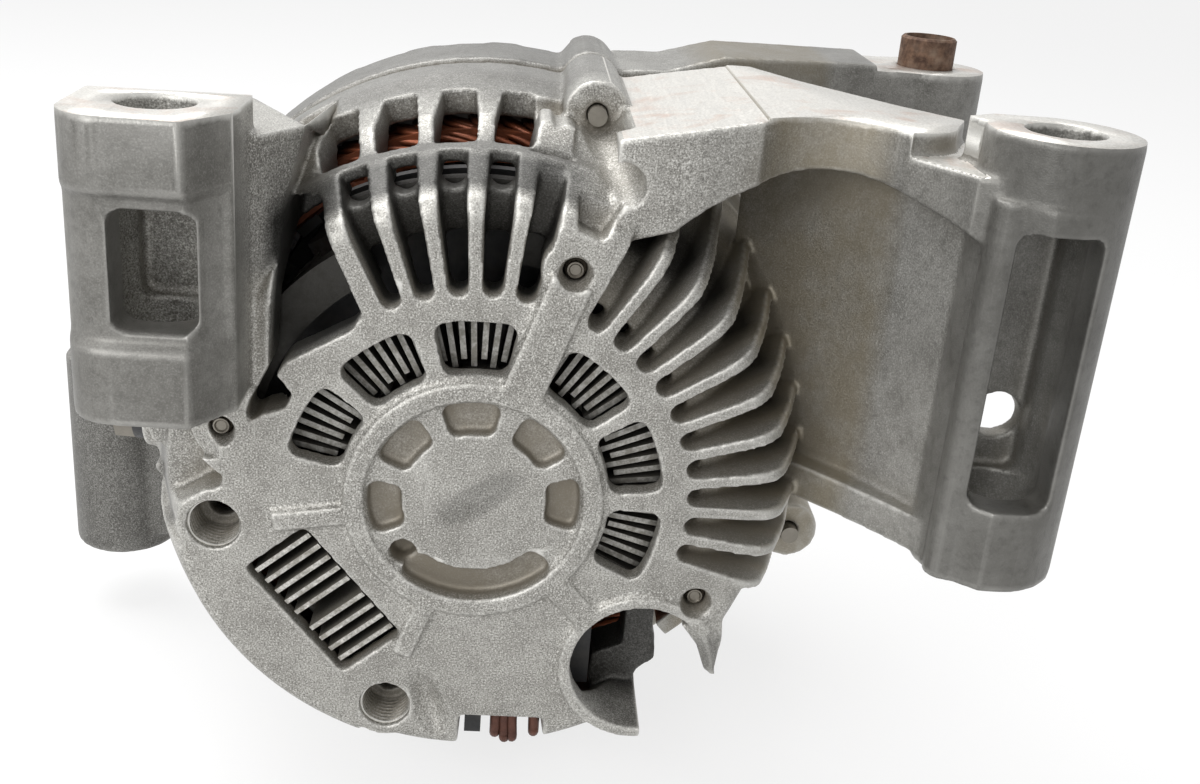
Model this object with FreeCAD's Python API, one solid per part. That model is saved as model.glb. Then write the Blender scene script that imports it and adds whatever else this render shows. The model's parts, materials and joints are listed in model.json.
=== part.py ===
# Car alternator, modelled as an assembly of separate pieces. Millimetres.
# The shaft runs along +Y from the rear face (Y = 0) to the pulley; +X is right and +Z is up as seen
# from behind. The origin is where the shaft axis meets the flat pad in the middle of the rear face.
import FreeCAD, Part
import math
import os

os.makedirs("parts", exist_ok=True)
V = FreeCAD.Vector
ORIGIN = V(0, 0, 0)
X_AXIS = V(1, 0, 0)
Y_AXIS = V(0, 1, 0)
Z_AXIS = V(0, 0, 1)

# Fits, as radial or face-to-face gaps
press_gap = 0.02          # rings pressed in a bore or on a shaft, line to line
seat_gap = 0.05           # stator in its bracket bores
thread_gap = 0.15         # screws and bolts in their holes
turn_gap = 0.5            # between turning and standing pieces that pass each other

# Rotor and shaft
shaft_r = 8.5
shaft_rear_r = 7.5        # journal in the rear bearing
pole_r = 48.5             # outside of the claw poles
air_gap = 0.5
pole_len = 53.6           # outer face to outer face of the two claw poles
pole_disc_t = 12.0
claw_count = 6
claw_root_half = 13.0     # half width of a claw at its root
claw_tip_half = 5.2
bobbin_core_r = 24.0
coil_r = 38.5
bobbin_wall = 1.6

# Stator
core_r = 61.7             # outside of the laminated core
core_len = 38.0
slot_count = 36
slot_w = 3.4
slot_depth = 8.6
coil_head_rear = 9.0      # end windings behind the core
coil_head_front = 13.0
coil_head_r = 59.9
lead_r = 1.0              # stator leads
lead_x = (6.0, 8.15, 10.3, 13.7)

# Stations along the shaft
pole_face_y = 37.2        # rear face of the rear claw pole
rotor_mid_y = pole_face_y + pole_len / 2
face_wall = 4.0           # rear face plate
rear_bearing_y = 7.5
rear_bore_y = rotor_mid_y - core_len / 2     # shoulder that the core seats on
rear_rim_y = rear_bore_y + 17.5              # edge of the rear bracket
bracket_gap = 2.5         # strip of core that shows between the brackets
front_bearing_y = rotor_mid_y + pole_len / 2 + 6.2
front_end_y = front_bearing_y + 10.0         # outer face of the front bracket

# Bearings: bore radius, outer radius, width
rear_bearing_od_r = 17.5
rear_bearing_w = 11.0
front_bearing_od_r = 23.5
front_bearing_w = 14.0
ball_count = 8
cage_t = 1.8
cage_gap = 0.15           # ball in its pocket
cage_rim = 1.2            # cage beyond the balls, along the shaft

# Fans
fan_plate_t = 1.3
fan_blade_h = 9.0
fan_r = 46.0
fan_blade_r0 = 31.0
fan_blades = 11
fan_front_h = 7.2

# Slip rings and brushes
slip_r = 10.0
slip_w = 5.5
slip_pitch = 7.5
slip_y = 24.0             # middle of the rear slip ring
carrier_y0 = 20.0         # moulded parts that carry the rings and the brushes
carrier_y1 = pole_face_y - 2.0
brush_w = 4.2             # along the shaft
brush_t = 5.6
brush_len = 11.0
brush_angle = 219.8       # direction of the brushes and of the regulator window
spring_seat_r = 27.0      # outer end of the brush springs
spring_wire_r = 0.22

# Front bearing retainer and diodes
retainer_pcr = 26.2
retainer_angles = (45, 135, 225, 315)
diode_pcr = 29.5
diode_angles = (10, 55, 100, 145)
outer_diodes = ((44.1, -4), (44.1, 42), (50.4, 95), (44.1, 148))

# Pulley
pulley_r = 29.0
pulley_w = 24.0
groove_pitch = 3.56
groove_depth = 3.0
groove_count = 6
pulley_y = front_bearing_y + 17.0
nut_flats = 24.0
nut_w = 10.0
nut_thread_r = 8.0

# Rectifier and output stud
rectifier_y = 13.0        # plates seat here
plate_t = 3.0
sink_r0 = 23.4
sink_r1 = 35.6
sink_fin_y = 4.8
sink_fin_t = 1.0
sink_fin_pitch = 3.9      # degrees
negative_r0 = 40.5
negative_r1 = 47.6
lobe_r0 = 46.0            # where the plate reaches out behind the top openings
lobe_r1 = 54.9
lobe_a0 = 82.0
lobe_a1 = 120.0
diode_r = 5.4
diode_seat_t = 0.8        # plate left under a diode
diode_h = 5.6
diode_pin_r = 0.7
stud_angle = 177.5
stud_y = 30.0
stud_r0 = 50.6            # inner face of the stud's head
stud_head_r = 5.0
stud_head_t = 2.4
stud_root_r = 4.0         # stud through its insulator and fixing nut
stud_r = 3.0              # free end
stud_nut_t = 3.8
stud_free = 7.3
insulator_r = 5.6
insulator_flange_r = 7.2
insulator_flange_t = 2.0
stud_seat_r = stud_r0 + 12.6                 # flat on the bracket under the insulator's flange
stud_nut_r0 = stud_seat_r + insulator_flange_t + seat_gap
stud_free_r0 = stud_nut_r0 + stud_nut_t
tolerance_ring_t = 1.0

# Rear bracket
face_r = 49.6             # flat of the rear face
rim_r = 66.6              # outside at the joint with the front bracket
cavity_r = 60.5           # hollow next to the core
hub_r = 21.5
pocket_r0 = 12.8
pocket_r1 = 18.7
pocket_depth = 2.6
fin_ring_r = 37.9         # inner end of the air gaps
fin_t = 2.2
fin_pitch = 8.33          # degrees
gap_end_half = 1.7
sill_r = 57.6             # inner side of the sill between the slots and the windows
step_h = 1.2              # raised web around the hub
window_r0 = 24.0
window_r1 = 33.4
window_half = 12.6        # degrees
window_angles = (154.9, 124.1, 91.9, 50.1, 19.1, -13.7)
top_gap_angles = tuple(88.1 + fin_pitch * k for k in range(4))
right_gap_angles = tuple(61.0 - 8.15 * k for k in range(10))
upper_window_angles = (86.5, 96.3, 106.0, 115.8)
lug_angle = 80.2
regulator_r = 34.05       # centre of the oblong regulator window
regulator_win_w = 13.7
regulator_win_l = 27.3
service_hole_r = 4.65     # two stepped holes on the face
service_pcr = 46.0
service_angles = (189.1, 251.4)
screw_pcr = 45.4          # rectifier screws
screw_angles = (70.9, 166.1, -23.9)
screw_hole_r = 2.9
screw_r = 2.0
screw_tip_r = 1.5
screw_tip_y = 2.2
bolt_pcr = 66.3           # through bolts, outside the core
bolt_r = 2.5
bolt_tip_r = 1.75
bolt_tip_y = 27.6
bolt_tip_len = 6.0
bolt_angles = (74.2, 164.2, 254.2, 344.2)
ear_r = 6.0
small_hole_angle = -138.6
socket_x = 32.3           # round connector cut-out
socket_z = -32.7
socket_r = 13.0
socket_wall = 2.2
socket_len = 32.0

# Mounting bosses, each for an upright bolt
boss_bore_r = 6.4
bore_relief = 0.6         # cored clearance round the bolt inside a boss's pocket
spot_face_r = 8.6         # room for the bolt's seat under the left boss
boss_y = -5.0
left_boss_x = -51.0
left_boss_top = 67.6
left_boss_len = 48.0
left_boss_half = 12.8
right_boss_x = 90.0
right_boss_top = 73.0
right_boss_len = 76.0
right_boss_r = 12.3
arm_top_z = 69.5

# Front bracket bosses
front_right_x = 94.0
front_right_y = front_end_y - 16.0
front_right_top = 68.3
front_right_len = 44.0
front_right_r = 13.0
front_left_x = -84.0
front_left_y = front_end_y - 25.0
front_left_top = -7.5
front_left_len = 47.0
front_left_r = 11.5
front_left_bore_r = 5.25
bush_r = 6.1
bush_bore_r = 5.1
bush_len = 49.0
bush_proud = 6.6


def cyl(radius, y0, y1, x=0.0, z=0.0):
    """Cylinder along Y from y0 to y1."""
    return Part.makeCylinder(radius, y1 - y0, V(x, y0, z), Y_AXIS)


def tube(outer, inner, y0, y1, x=0.0, z=0.0):
    """Round tube along Y."""
    return cyl(outer, y0, y1, x, z).cut(cyl(inner, y0 - 1, y1 + 1, x, z))


def post(radius, z0, z1, x, y):
    """Upright cylinder from z0 to z1."""
    return Part.makeCylinder(radius, z1 - z0, V(x, y, z0), Z_AXIS)


def box(x0, x1, y0, y1, z0, z1):
    """Box between two corners."""
    return Part.makeBox(x1 - x0, y1 - y0, z1 - z0, V(x0, y0, z0))


def face_of(points):
    """Flat face of a closed run of points; a point written as a triple of tags makes an arc."""
    edges = []
    here = points[0]
    k = 1
    ring = list(points) + [points[0]]
    while k < len(ring):
        item = ring[k]
        if isinstance(item, tuple):
            edges.append(Part.Arc(here, item[0], item[1]).toShape())
            here = item[1]
        else:
            if here.distanceToPoint(item) > 1e-7:
                edges.append(Part.LineSegment(here, item).toShape())
            here = item
        k += 1
    return Part.Face(Part.Wire(edges))


def spin(points, degrees=360.0, start=0.0):
    """Solid of revolution about the shaft from (radius, y) points; ((r, y), (r, y)) makes an arc."""
    run = []
    for item in points:
        if isinstance(item[0], tuple):
            run.append((V(item[0][0], item[0][1], 0), V(item[1][0], item[1][1], 0)))
        else:
            run.append(V(item[0], item[1], 0))
    solid = face_of(run).revolve(ORIGIN, V(0, -1, 0), degrees)
    return turned(solid, start) if start else solid


def turned(shape, degrees):
    """Copy turned about the shaft, from +X towards +Z."""
    copy = shape.copy()
    copy.rotate(ORIGIN, V(0, -1, 0), degrees)
    return copy


def polar(radius, degrees, y=0.0):
    """Point on a circle about the shaft."""
    a = math.radians(degrees)
    return V(radius * math.cos(a), y, radius * math.sin(a))


def prism_y(points, y0, y1):
    """Solid between y0 and y1 from (x, z) points; ((x, z), (x, z)) makes an arc."""
    run = []
    for item in points:
        if isinstance(item[0], tuple):
            run.append((V(item[0][0], y0, item[0][1]), V(item[1][0], y0, item[1][1])))
        else:
            run.append(V(item[0], y0, item[1]))
    return face_of(run).extrude(V(0, y1 - y0, 0))


def prism_z(points, z0, z1):
    """Solid between z0 and z1 from (x, y) points; ((x, y), (x, y)) makes an arc."""
    run = []
    for item in points:
        if isinstance(item[0], tuple):
            run.append((V(item[0][0], item[0][1], z0), V(item[1][0], item[1][1], z0)))
        else:
            run.append(V(item[0], item[1], z0))
    return face_of(run).extrude(V(0, 0, z1 - z0))


def prism_x(points, x0, x1):
    """Solid between x0 and x1 from (y, z) points."""
    return face_of([V(x0, y, z) for y, z in points]).extrude(V(x1 - x0, 0, 0))


def rounded(shape, radius, wanted):
    """Fillet of the edges that a test picks."""
    edges = [e for e in shape.Edges if wanted(e)]
    return shape.makeFillet(radius, edges) if edges else shape


def along(edge, axis, tolerance=0.02):
    """True for a straight edge that runs along an axis."""
    if not isinstance(edge.Curve, Part.Line):
        return False
    return abs(edge.Curve.Direction.dot(axis)) > 1 - tolerance


def sector(r0, r1, half, angle, y0, y1, corner=0.0):
    """Piece of a ring, half degrees either side of angle, with rounded corners."""
    a = math.radians(half)
    inner0 = (r0 * math.cos(a), -r0 * math.sin(a))
    inner1 = (r0 * math.cos(a), r0 * math.sin(a))
    outer0 = (r1 * math.cos(a), -r1 * math.sin(a))
    outer1 = (r1 * math.cos(a), r1 * math.sin(a))
    solid = prism_y([inner0, outer0, ((r1, 0), outer1), inner1, ((r0, 0), inner0)], y0, y1)
    if corner:
        solid = rounded(solid, corner, lambda e: along(e, Y_AXIS))
    return turned(solid, angle)


def air_gap_cutter(angle, r0, r1, y0, y1, half0, pitch):
    """Wedge between two fins with a round inner end; its sides leave fins of even thickness."""
    spread = math.tan(math.radians(pitch / 2))
    half1 = max(half0, r1 * spread - fin_t / 2)
    start = r0 + half0
    wedge = prism_y([(start, -half0), (r1, -half1), (r1, half1), (start, half0)], y0, y1)
    return turned(wedge.fuse(cyl(half0, y0, y1, start, 0)), angle)


def wire(points, radius):
    """Round wire along straight runs with round corners."""
    solids = []
    for k in range(len(points) - 1):
        a = V(*points[k])
        b = V(*points[k + 1])
        solids.append(Part.makeCylinder(radius, a.distanceToPoint(b), a, b - a))
        if k:
            solids.append(Part.makeSphere(radius, a))
    return solids[0].fuse(solids[1:])


def save(name, shape):
    """One STEP file for a node."""
    shape.exportStep("parts/" + name + ".step")


# Rear bracket

def rear_dome():
    """Solid outside of the rear bracket: a plain flared dome with the taller fin bands fused on."""
    dome = spin([(0, 0), (face_r, 0), ((51.6, 0.6), (52.4, 2.2)), ((58.5, 17.5), (64.0, 36.0)),
                 (rim_r, rear_bore_y + 5), (rim_r, rear_rim_y), (0, rear_rim_y)])
    right_fins = spin([(36, 0), (49.8, 0), ((54.0, 1.3), (56.4, 4.8)), ((59.2, 12.5), (61.2, 20)),
                       (64.6, 34), (66.2, 46), (55, 46), (36, 12)], 82.5, -17.0)
    top_fins = spin([(36, 0), (50.3, 0), ((53.8, 1.0), (55.3, 3.6)), ((58.0, 8.4), (60.0, 13.0)),
                     (60.2, 17.5), (63.6, 25.0), (65.4, 40), (rim_r, 50), (58, 50), (50, 25), (36, 12)],
                    61.0, 65.5)
    lower_left = spin([(36, 0), (51.3, 0), ((53.2, 0.8), (54.3, 2.4)), ((59.6, 15), (64.4, 34)),
                       (66.2, 46), (55, 46), (36, 12)], 56.0, 193.0)
    return dome.fuse([right_fins, top_fins, lower_left])


def rear_cavity():
    """Hollow of the rear bracket, deeper behind the lower left and the top of the face."""
    hub_end = rear_bearing_y + rear_bearing_w + 1.0
    seat_r = core_r + seat_gap
    main = spin([(hub_r, face_wall), (36, face_wall), (37.4, 9), (48.8, 12), (51.5, 18), (54.5, 27),
                 (58.6, rear_bore_y - 11), (cavity_r, rear_bore_y - 6.5), (cavity_r, rear_bore_y),
                 (seat_r, rear_bore_y),
                 (seat_r, rear_rim_y + 1), (0, rear_rim_y + 1), (0, hub_end), (hub_r, hub_end)])
    lower_left = spin([(35, face_wall), (46.8, face_wall), (51, 9), (55, 17), (58.4, 26), (60, 32),
                       (60, 42), (50, 42), (35, 10)], 147, 185)
    top = spin([(44, 12.3), (lobe_r1 + 0.6, 12.3), (lobe_r1 + 0.6, 18), (lobe_r1 + 1.6, 27), (50, 27)],
               lobe_a1 - lobe_a0 + 2, lobe_a0 - 1)
    bar = turned(box(44, stud_r0 + stud_head_t + seat_gap, rectifier_y + 0.5, stud_y + 7, -6.2, 6.2),
                 stud_angle)
    return main.fuse([lower_left, top, bar])


def right_channels():
    """Blind channels between the dome fins, each with a small slot at its inner end."""
    room = spin([(37, -2), (37, 4.6), (44, 6.8), (50.5, 12), (55.5, 20.5), (60, 30), (64, 38.5),
                 (74, 46), (74, -2)], 96, -24)
    cutters = []
    for angle in right_gap_angles:
        cutters.append(air_gap_cutter(angle, fin_ring_r, 73, -1, 45, gap_end_half, 8.15).common(room))
        slot = polar(fin_ring_r + gap_end_half, angle)
        cutters.append(cyl(1.4, 3, 14, slot.x, slot.z))
    return cutters


def top_openings():
    """Air gaps of the face, each with a slot through the shoulder, and the windows above the sill."""
    room = spin([(37, -2), (37, 16), (45.5, 16), (46.5, 10.5), (54.5, 7.0), (55.5, 13), (70, 13),
                 (70, -2)], 70, 68)
    gap = prism_y([(fin_ring_r + gap_end_half, -gap_end_half), (50, -2.33), (70, -2.33), (70, 2.33),
                   (50, 2.33), (fin_ring_r + gap_end_half, gap_end_half)], -1, 16)
    gap = gap.fuse(cyl(gap_end_half, -1, 16, fin_ring_r + gap_end_half, 0))
    slot = cyl(2.1, 3, 24, 56.4, 0).fuse(box(56.4, 60, 3, 24, -2.1, 2.1)).common(cyl(sill_r, 3, 24))
    cutters = []
    for angle in top_gap_angles:
        cutters += [turned(gap, angle).common(room), turned(slot, angle)]
    blind = spin([(37, -2), (37, 16), (45.5, 16), (47, 10.5), (sill_r, 9.5), (59.5, 12), (70, 12),
                  (70, -2)], 20, 70)
    cutters.append(turned(gap, top_gap_angles[0] - fin_pitch).common(blind))
    window = prism_x([(17.5, -3.6), (25, -3.9), (39.5, -3.0), (39.5, 3.0), (25, 3.9), (17.5, 3.6)], 50, 70)
    window = rounded(window, 1.3, lambda e: along(e, X_AXIS))
    cutters += [turned(window, angle) for angle in upper_window_angles]
    return cutters


def lug():
    """Split lug beside the row of windows, and the cutter that frees it."""
    outline = prism_y([(56.5, -3.7), (64.0, -3.2), (64.6, -1.4), (63.2, 0), (64.6, 1.4), (64.0, 3.2),
                       (56.5, 3.7)], 15.5, 33)
    side = prism_z([(56.5, 15.5), (60.5, 16.5), (64.8, 22.5), (64.8, 33), (56.5, 33)], -5, 5)
    frame = sector(57.0, 70, 3.7, 0, 15.0, 33)
    return turned(outline.common(side), lug_angle), turned(frame, lug_angle)


def bolt_hollow():
    """Channel in front of the top bolt's tip, the notch over it and the pocket in the fin below."""
    tip = V(18.0, 28, 63.9)
    way = V(20.6, 12, 59.5) - tip
    channel = Part.makeCylinder(3.6, way.Length * 26 / 16, tip, way)
    notch = prism_y([(14.5, 62.5), (17, 61), (21, 62), (22.5, 64), (24.5, 68), (24.5, 80), (10, 80),
                     (13.0, 66)], 12, 30)
    pocket = prism_y([(15.2, 60), (14.6, 50.3), (19.0, 48.4), (22.3, 54.0), (21.5, 60)], -1, 6.5)
    pocket = rounded(pocket, 0.8, lambda e: along(e, Y_AXIS))
    return [channel, notch, pocket]


def left_void():
    """Openings between the left arm and the first fin, and the scoop under the arm."""
    void = prism_y([(-39.6, 12.3), (-36.7, 14.5), (-32.8, 15.9), (-31.6, 18.4), (-34.4, 21.8),
                    (-32.7, 24.3), (-21.7, 30.7), (-20.2, 33.5), (-28.0, 50.6), (-30.3, 50.4),
                    (-33.5, 49.6), (-34.2, 43), (-35.0, 34.3), (-35.5, 23.1), (-38.9, 16.4)], -1, 26)
    corner = prism_y([(-31.9, 57.4), (-29.6, 57.5), (-27.2, 54.8), (-30.2, 52.0), (-32.6, 53.3)], -1, 20)
    scoop = prism_y([(-52, 11.3), (-50.3, 11.1), (-48.6, 6.7), (-46.3, 4.6), (-43.6, 2.2), (-44.0, 0.2),
                     (-47, -0.6), (-51.5, -3.5), (-60, -6), (-62, 8)], -1, 8)
    return [void, corner, scoop]


def left_boss():
    """Upright boss of the left arm: a hollow column cored from behind, its bolt bore end to end."""
    x = left_boss_x
    low = left_boss_top - left_boss_len
    half = left_boss_half
    column = prism_z([(x - half, 3.0), (x - half, -11.0), ((x - half + 2.2, -16.6), (x - 4.6, -19.0)),
                      (x + 6.8, -19.0), (x + half - 0.3, -10.5), (x + half, 5.2)], low, left_boss_top)
    plan = prism_z([(x - half + 1.0, 0), (x + half, 0), (x + half + 2.0, 3), (-31, 12), (-31, 50),
                    (-54, 50), (x - half + 1.0, 22)], 5, 62.0)
    side = prism_y([(-31, 62), (-31.9, 58.2), (-33.9, 49.8), (-35.0, 34.3), (-35.5, 23.1), (-40.9, 11.6),
                    (-44, 8.1), (-50, 11.3), (x - half, low + 5), (x - half, 62)], -1, 51)
    return column.fuse(plan.common(side))


def left_boss_cuts():
    """Cored pocket, bolt bore and spot face of the left boss."""
    x = left_boss_x
    low = left_boss_top - left_boss_len
    floor = 34.4
    roof = 53.6
    pocket = box(x - 4.9, x + 7.7, -22, 3.0, floor, roof)
    pocket = rounded(pocket, 2.2, lambda e: along(e, Y_AXIS))
    relief = post(boss_bore_r + bore_relief, floor, roof, x, boss_y)
    bore = post(boss_bore_r, low - 1, left_boss_top + 1, x, boss_y)
    seat = post(spot_face_r, low - 14, low, x, boss_y)
    return [pocket, relief, bore, seat]


def right_arm():
    """Right arm: curved web with a top flange, a lower flange and the tall boss at its end."""
    x = right_boss_x
    low = right_boss_top - right_boss_len
    flange_side = prism_y([(20.5, 64.8), (33, 67.2), (46, arm_top_z), (86, arm_top_z), (86, 49),
                           ((58, 60.8), (31, 50)), (20.5, 47)], -16, rear_rim_y)
    flange_plan = prism_z([(20.5, 3.8), (33, 3.6), (44, 5.2), ((57, 10.6), (68, 2.3)), (76, -9.5),
                           (86, -15), (88, 0), (82, 18), (72, 29), (57.5, 49), (50, rear_rim_y),
                           (20.5, rear_rim_y)], 40, 80)
    step = prism_z([(68.0, -20), (68.0, 3.0), ((74.5, 5.4), (78.0, 11.0)), (82.1, 20), (86, 24),
                    (92, 24), (92, -20)], 65.8, 70.5)
    flange = flange_side.common(flange_plan).cut(step)
    web = prism_z([(82, -9), ((70, 8.6), (46, 32)), (49, 37), ((74, 13.0), (87, -4))], low + 1, 62)
    lip = prism_z([(82, -13.5), ((67.5, 5.0), (44, 27)), (49, 37), ((74, 13.0), (87, -4))],
                  low + 1, low + 7.5)
    column = prism_z([(78.8, -9), ((79.3, -13.5), (82.0, -14.6)), (86, -17.6),
                      ((95.5, -16.2), (102.0, -5)), ((99, 3.6), (92, 7.6)), (82, 7.6)],
                     low, right_boss_top - 10)
    head = post(right_boss_r, low, right_boss_top, x, boss_y)
    neck = prism_z([(76.8, 3.4), (79.4, -6.0), (80.9, -13.0), (x - 4, boss_y - right_boss_r + 0.8),
                    (x - 1, boss_y + right_boss_r - 0.2), (82, 7)], 56, right_boss_top)
    return [flange, web, lip, column, head, neck]


def right_arm_cuts():
    """Cored pocket, bolt bore and drain hole of the right boss."""
    x = right_boss_x
    floor = 11.5
    roof = 58.8
    pocket = rounded(box(x - 7.7, x + 5.7, -22, 3.0, floor, roof), 2.4, lambda e: along(e, Y_AXIS))
    relief = post(boss_bore_r + bore_relief, floor, roof, x, boss_y)
    bore = post(boss_bore_r, -20, right_boss_top + 1, x, boss_y)
    return [pocket, relief, bore, cyl(4.2, 0, 16, x + 1.3, 21.0)]


def rear_bracket():
    """Rear casting: dome with fins and windows, bearing hub, both arms and all its holes."""
    split_lug, lug_frame = lug()
    trench = spin([(61.2, 33), (62.7, 38.5), (70, 38.5), (70, 33)], 10.5, 73.5)
    body = rear_dome().cut(right_channels() + top_openings() + [lug_frame, trench]).fuse(split_lug)
    ears = [cyl(6.6, 0, 22, polar(service_pcr, a).x, polar(service_pcr, a).z) for a in service_angles]
    ears += [cyl(5.8, 0, 14, polar(screw_pcr, a).x, polar(screw_pcr, a).z) for a in screw_angles]
    ears += [cyl(ear_r, 30, rear_rim_y, polar(bolt_pcr, a).x, polar(bolt_pcr, a).z) for a in bolt_angles]
    socket = cyl(socket_r + socket_wall, 0, socket_len, socket_x, socket_z)
    skirt = prism_y([(-59.3, 7.5), (-58.0, 3.9), (-55.4, 2.7), (-53.3, 1.7), (-48, 1.7), (-48, 12),
                     (-57.0, 12)], 10, 16)
    tab = prism_y([(-59.2, -3.2), (-57.5, -5.2), (-54.2, -3.0), (-53.2, -5.5), (-52.0, -5.0),
                   (-52.2, -1.2), (-55.0, -0.6)], 14, 17)
    seat = Part.makeCylinder(insulator_flange_r + 1.2, stud_seat_r - 55, polar(55, stud_angle, stud_y),
                             polar(1, stud_angle))
    body = body.fuse(ears + [socket, left_boss(), skirt, tab, seat] + right_arm())

    raised = [tube(22.8, 19.3, -step_h, 1)]
    raised.append(turned(box(21, 44, -step_h, 1, -3.6, 3.6), screw_angles[0]))
    raised.append(turned(box(20, 35.5, -step_h, 1, -1.8, 1.8), 189.2))
    raised.append(turned(box(21, 34, -step_h, 1, -1.8, 1.8), 249.5))
    raised.append(turned(box(21, 32, -step_h, 1, -2.4, 2.4), -46.0))
    raised.append(cyl(socket_r + socket_wall, -step_h, 1, socket_x, socket_z))
    body = body.fuse(raised)

    bearing_seat_r = rear_bearing_od_r + tolerance_ring_t + press_gap
    body = body.cut([rear_cavity(), cyl(bearing_seat_r, rear_bearing_y, 30)])
    pads = [cyl(4.6, face_wall - 1, rectifier_y, polar(screw_pcr, a).x, polar(screw_pcr, a).z)
            for a in screw_angles]
    pads += [cyl(6.0, face_wall - 1, rectifier_y - 0.5, polar(service_pcr, a).x, polar(service_pcr, a).z)
             for a in service_angles]
    body = body.fuse(pads)

    cuts = left_boss_cuts() + right_arm_cuts()
    cuts += [sector(window_r0, window_r1, window_half, a, -3, face_wall + 2, 2.0) for a in window_angles]
    for k in range(5):
        cuts.append(sector(pocket_r0, pocket_r1, 16.5, 0.7 + 46.65 * k, -3, pocket_depth, 1.6))
    cuts.append(sector(13.9, 19.5, 46, -86, -3, pocket_depth, 2.0))
    win = box(regulator_r - regulator_win_w / 2, regulator_r + regulator_win_w / 2, -3, face_wall + 2,
              -regulator_win_l / 2, regulator_win_l / 2)
    cuts.append(turned(rounded(win, 1.0, lambda e: along(e, Y_AXIS)), brush_angle))
    body = body.cut(cuts)
    cuts = []
    for a in service_angles:
        p = polar(service_pcr, a)
        cuts += [cyl(service_hole_r, -3, 9, p.x, p.z), cyl(2.6, 5, 24, p.x, p.z)]
    for a in screw_angles:
        p = polar(screw_pcr, a)
        recess = Part.makeCone(screw_hole_r, screw_r + thread_gap, 2.6, V(p.x, 0, p.z), Y_AXIS)
        cuts += [cyl(screw_hole_r, -3, 0, p.x, p.z), recess, cyl(screw_r + thread_gap, 0, 16, p.x, p.z)]
    for a in bolt_angles:
        p = polar(bolt_pcr, a)
        thread_y = bolt_tip_y + bolt_tip_len - 0.6
        cuts += [cyl(bolt_tip_r + 0.2, 18, thread_y, p.x, p.z),
                 cyl(bolt_r + thread_gap, thread_y, rear_rim_y + 1, p.x, p.z)]
    body = body.cut(cuts + bolt_hollow() + left_void())
    # an air window behind the connector bay, and the seat and hole of the output stud
    cuts = [sector(45.0, 70.0, 6.5, -55.5, 30, 45, 1.5)]
    way = polar(1, stud_angle)
    cuts.append(Part.makeCylinder(insulator_r + thread_gap, 20, polar(50, stud_angle, stud_y), way))
    cuts.append(Part.makeCylinder(insulator_flange_r + 1.2, 20, polar(stud_seat_r, stud_angle, stud_y), way))
    cuts.append(cyl(socket_r, -3, socket_len + 1, socket_x, socket_z))
    cuts.append(prism_y([(33.6, -33), (46.5, -33), (44, -24), (70, -24), (70, -70), (33.6, -70)],
                        -3, socket_len + 4))
    cuts.append(box(-0.8, 15.2, -3, 30, -70, -45.4))
    cuts.append(box(10.0, socket_x - 4.0, 9.2, 23.5, -43.4, -25.6))
    small = polar(16.26, small_hole_angle)
    cuts.append(cyl(2.35, -3, 5, small.x, small.z))
    body = body.cut(cuts)
    bay_post = box(30.3, 36.2, 15, 24, -40.0, -23.5)
    bay_bar = prism_y([(24.3, -40), (25.5, -39.4), (30.3, -37.4), (36.8, -35), (37.2, -40.5),
                       (33.6, -43.6), (33.2, -47), (31.0, -50.5), (26.0, -50.5), (24.3, -46)], 15, 24)
    claw = prism_y([(42, -22), (46.6, -18), (47.2, -26), (46.4, -32.6), (44.6, -33.0), (42.6, -27.5),
                    (39.5, -23.5)], -0.2, 4.0)
    return body.fuse([claw, bay_post, bay_bar])


# Front bracket

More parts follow.
